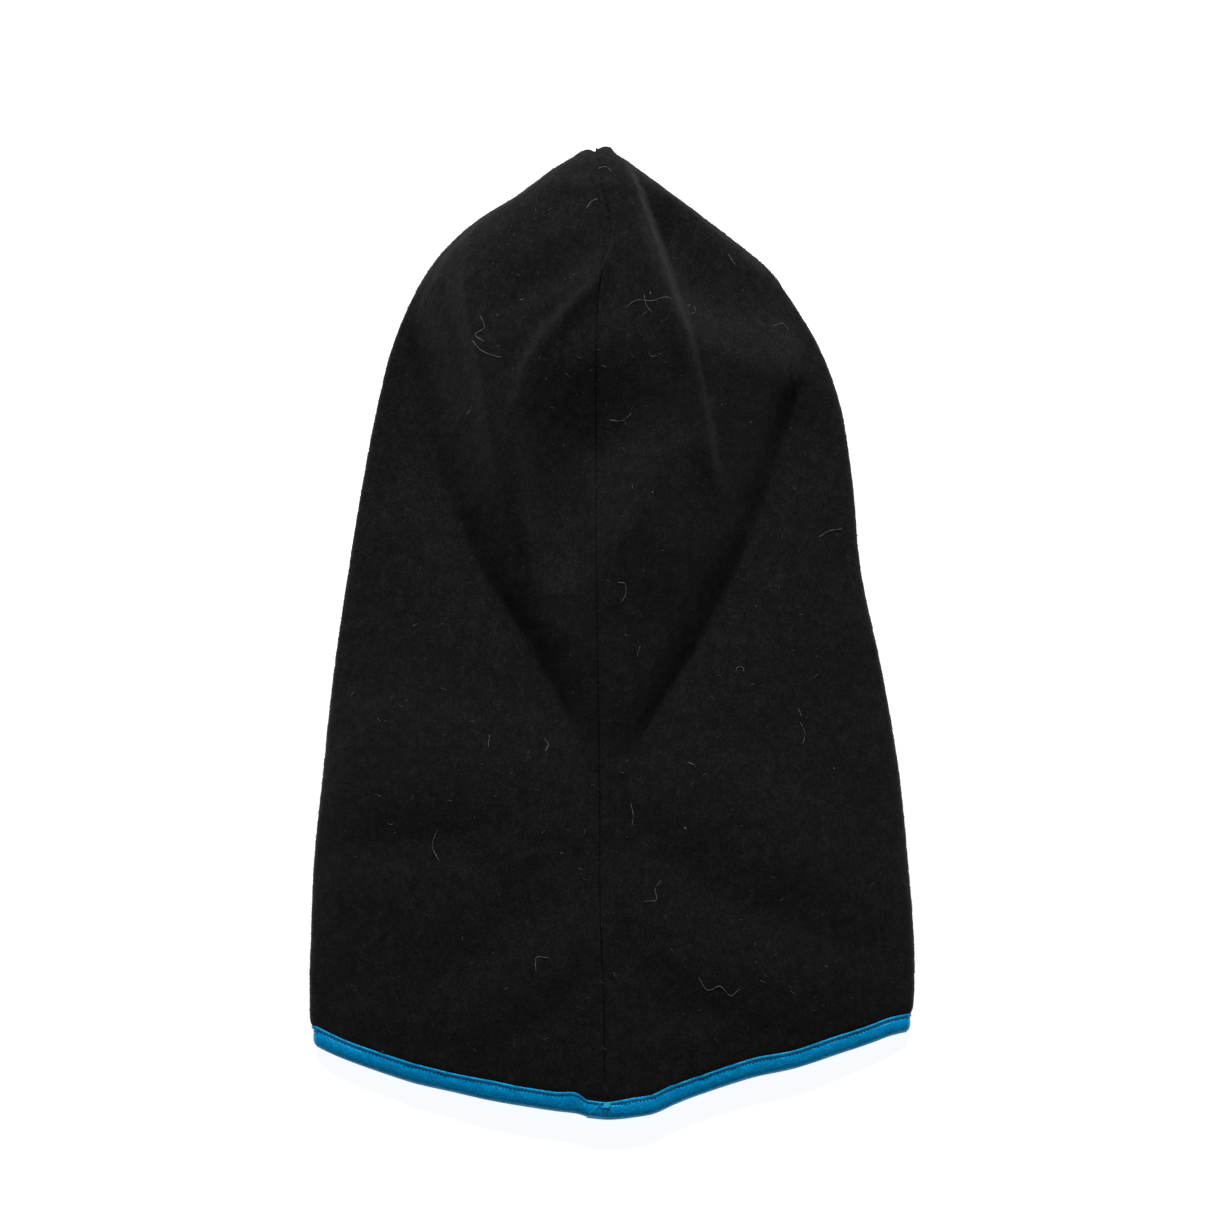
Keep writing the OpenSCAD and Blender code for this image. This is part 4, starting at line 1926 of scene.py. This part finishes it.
@dataclass(frozen=True)
class LintFibre:
    """Pale dusty fibre, darker in places."""

    mottle: bpy.types.NodeTree
    low: Colour = (0.045, 0.043, 0.04, 1)
    high: Colour = (0.36, 0.345, 0.32, 1)

    def build(self) -> bpy.types.Material:
        """Mottle gives the tone along each fibre.

        Returns:
            The material.
        """
        dress = Dresser("lint_fibre", self.mottle)
        tone = dress.tone(900.0, 260.0, 0.5)
        dress.colour(dress.ramp(tone, ((0.36, self.low), (0.66, self.high))))
        dress.relief(tone, 0.2, 0.0001)
        return dress.fix(Roughness=0.8, Specular_IOR_Level=0.2)


# ---- Stage -----------------------------------------------------------------------------------


@dataclass
class Studio:
    """A plain pale floor, soft lights that come mostly from the crown's end, and the camera."""

    layout: Layout
    view_width: float = 542.4
    camera_height: float = 1800.0
    look: tuple[float, float] = (0.7, 8.4)
    focus_z: float = 4.5
    floor_reach: float = 6000.0
    floor_z: float = -0.05
    floor_glow: float = 0.84
    world_glow: float = 0.10

    def floor(self) -> None:
        """A wide white sheet that lights itself a little, as a light table does."""
        corner = np.array([[-1, -1], [1, -1], [1, 1], [-1, 1]]) * self.floor_reach
        points = np.column_stack([corner, np.full(4, self.floor_z)])
        obj = write_mesh("floor", points, np.array([[0, 1, 2, 3]]))
        mat = bpy.data.materials.new("floor_white")
        mat.use_nodes = True
        shader = mat.node_tree.nodes["Principled BSDF"]
        shader.inputs["Base Color"].default_value = (0.86, 0.86, 0.86, 1)
        shader.inputs["Roughness"].default_value = 0.9
        shader.inputs["Emission Color"].default_value = (1, 1, 1, 1)
        shader.inputs["Emission Strength"].default_value = self.floor_glow
        obj.data.materials.append(mat)

    def light(self, name: str, place: Sequence[float], size: float, watts: float) -> None:
        """Adds a square area light that points at the origin.

        Args:
            name: the light's name.
            place: where it stands, in metres.
            size: length of its side, in metres.
            watts: its power.
        """
        data = bpy.data.lights.new(name, "AREA")
        data.size = size
        data.energy = watts
        obj = bpy.data.objects.new(name, data)
        bpy.context.scene.collection.objects.link(obj)
        obj.location = place
        obj.rotation_euler = Vector(place).to_track_quat("Z", "Y").to_euler()

    def build(self) -> None:
        """Floor, world, lights and camera."""
        self.floor()
        scene = bpy.context.scene
        scene.view_settings.view_transform = "Standard"
        world = bpy.data.worlds.new("studio")
        scene.world = world
        world.use_nodes = True
        world.node_tree.nodes["Background"].inputs["Color"].default_value = (1, 1, 1, 1)
        world.node_tree.nodes["Background"].inputs["Strength"].default_value = self.world_glow
        self.light("key", (-0.05, 1.9, 1.22), 0.7, 56.0)
        self.light("fill", (0.5, -0.9, 1.6), 1.2, 1.5)
        cam = bpy.data.cameras.new("camera")
        cam.sensor_width = 36.0
        depth = self.camera_height - self.focus_z
        cam.lens = cam.sensor_width * depth / self.view_width
        cam.clip_start, cam.clip_end = 0.05, 30.0
        obj = bpy.data.objects.new("camera", cam)
        scene.collection.objects.link(obj)
        obj.location = (self.look[0] * MM, self.look[1] * MM, self.camera_height * MM)
        scene.camera = obj


def main() -> None:
    """Builds the hood piece by piece, then the studio."""
    logging.basicConfig(level=logging.INFO, format="%(name)s %(message)s")
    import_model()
    layout = Layout.from_frame()
    LOG.info("layout %s", layout)
    hood = Hood(layout)
    mottle = mottle_group()
    fleece = Fleece(mottle).build()
    tape = SatinTape(mottle).build()
    blue, lit_blue, black = (
        SewingThread(mottle, name + "_thread", dark, pale).build() for name, dark, pale in THREADS
    )
    for side in Side:
        FleecePanel(hood, side).build(fleece)
    # the bartacks take the painted-highlight copy of the stitch thread, the stitches its painted-shade
    # copy
    Binding("hem", hem_path(hood), (0.0195, 0.56)).build(tape, blue, lit_blue)
    Binding("face", face_path(hood), (0.0195, 0.46), seed=47).build(tape, blue, lit_blue)
    y_hem = hood.layout.y_side
    face_low = layout.face_y - layout.face_half_h
    face_high = layout.face_y + layout.face_half_h
    Seam(hood, "back_seam", ((y_hem - 20, layout.y_crown - 10),), True).build(black)
    Seam(
        hood, "chin_seam", ((y_hem + 6, face_low - 12), (face_high + 12, layout.y_crown - 14)), False
    ).build(black)
    CareLabel(hood).build(LabelCloth(mottle).build())
    Lint(hood).build(LintFibre(mottle).build())
    Nap(hood).build(fleece)
    Studio(layout).build()


if __name__ == "__main__":
    main()
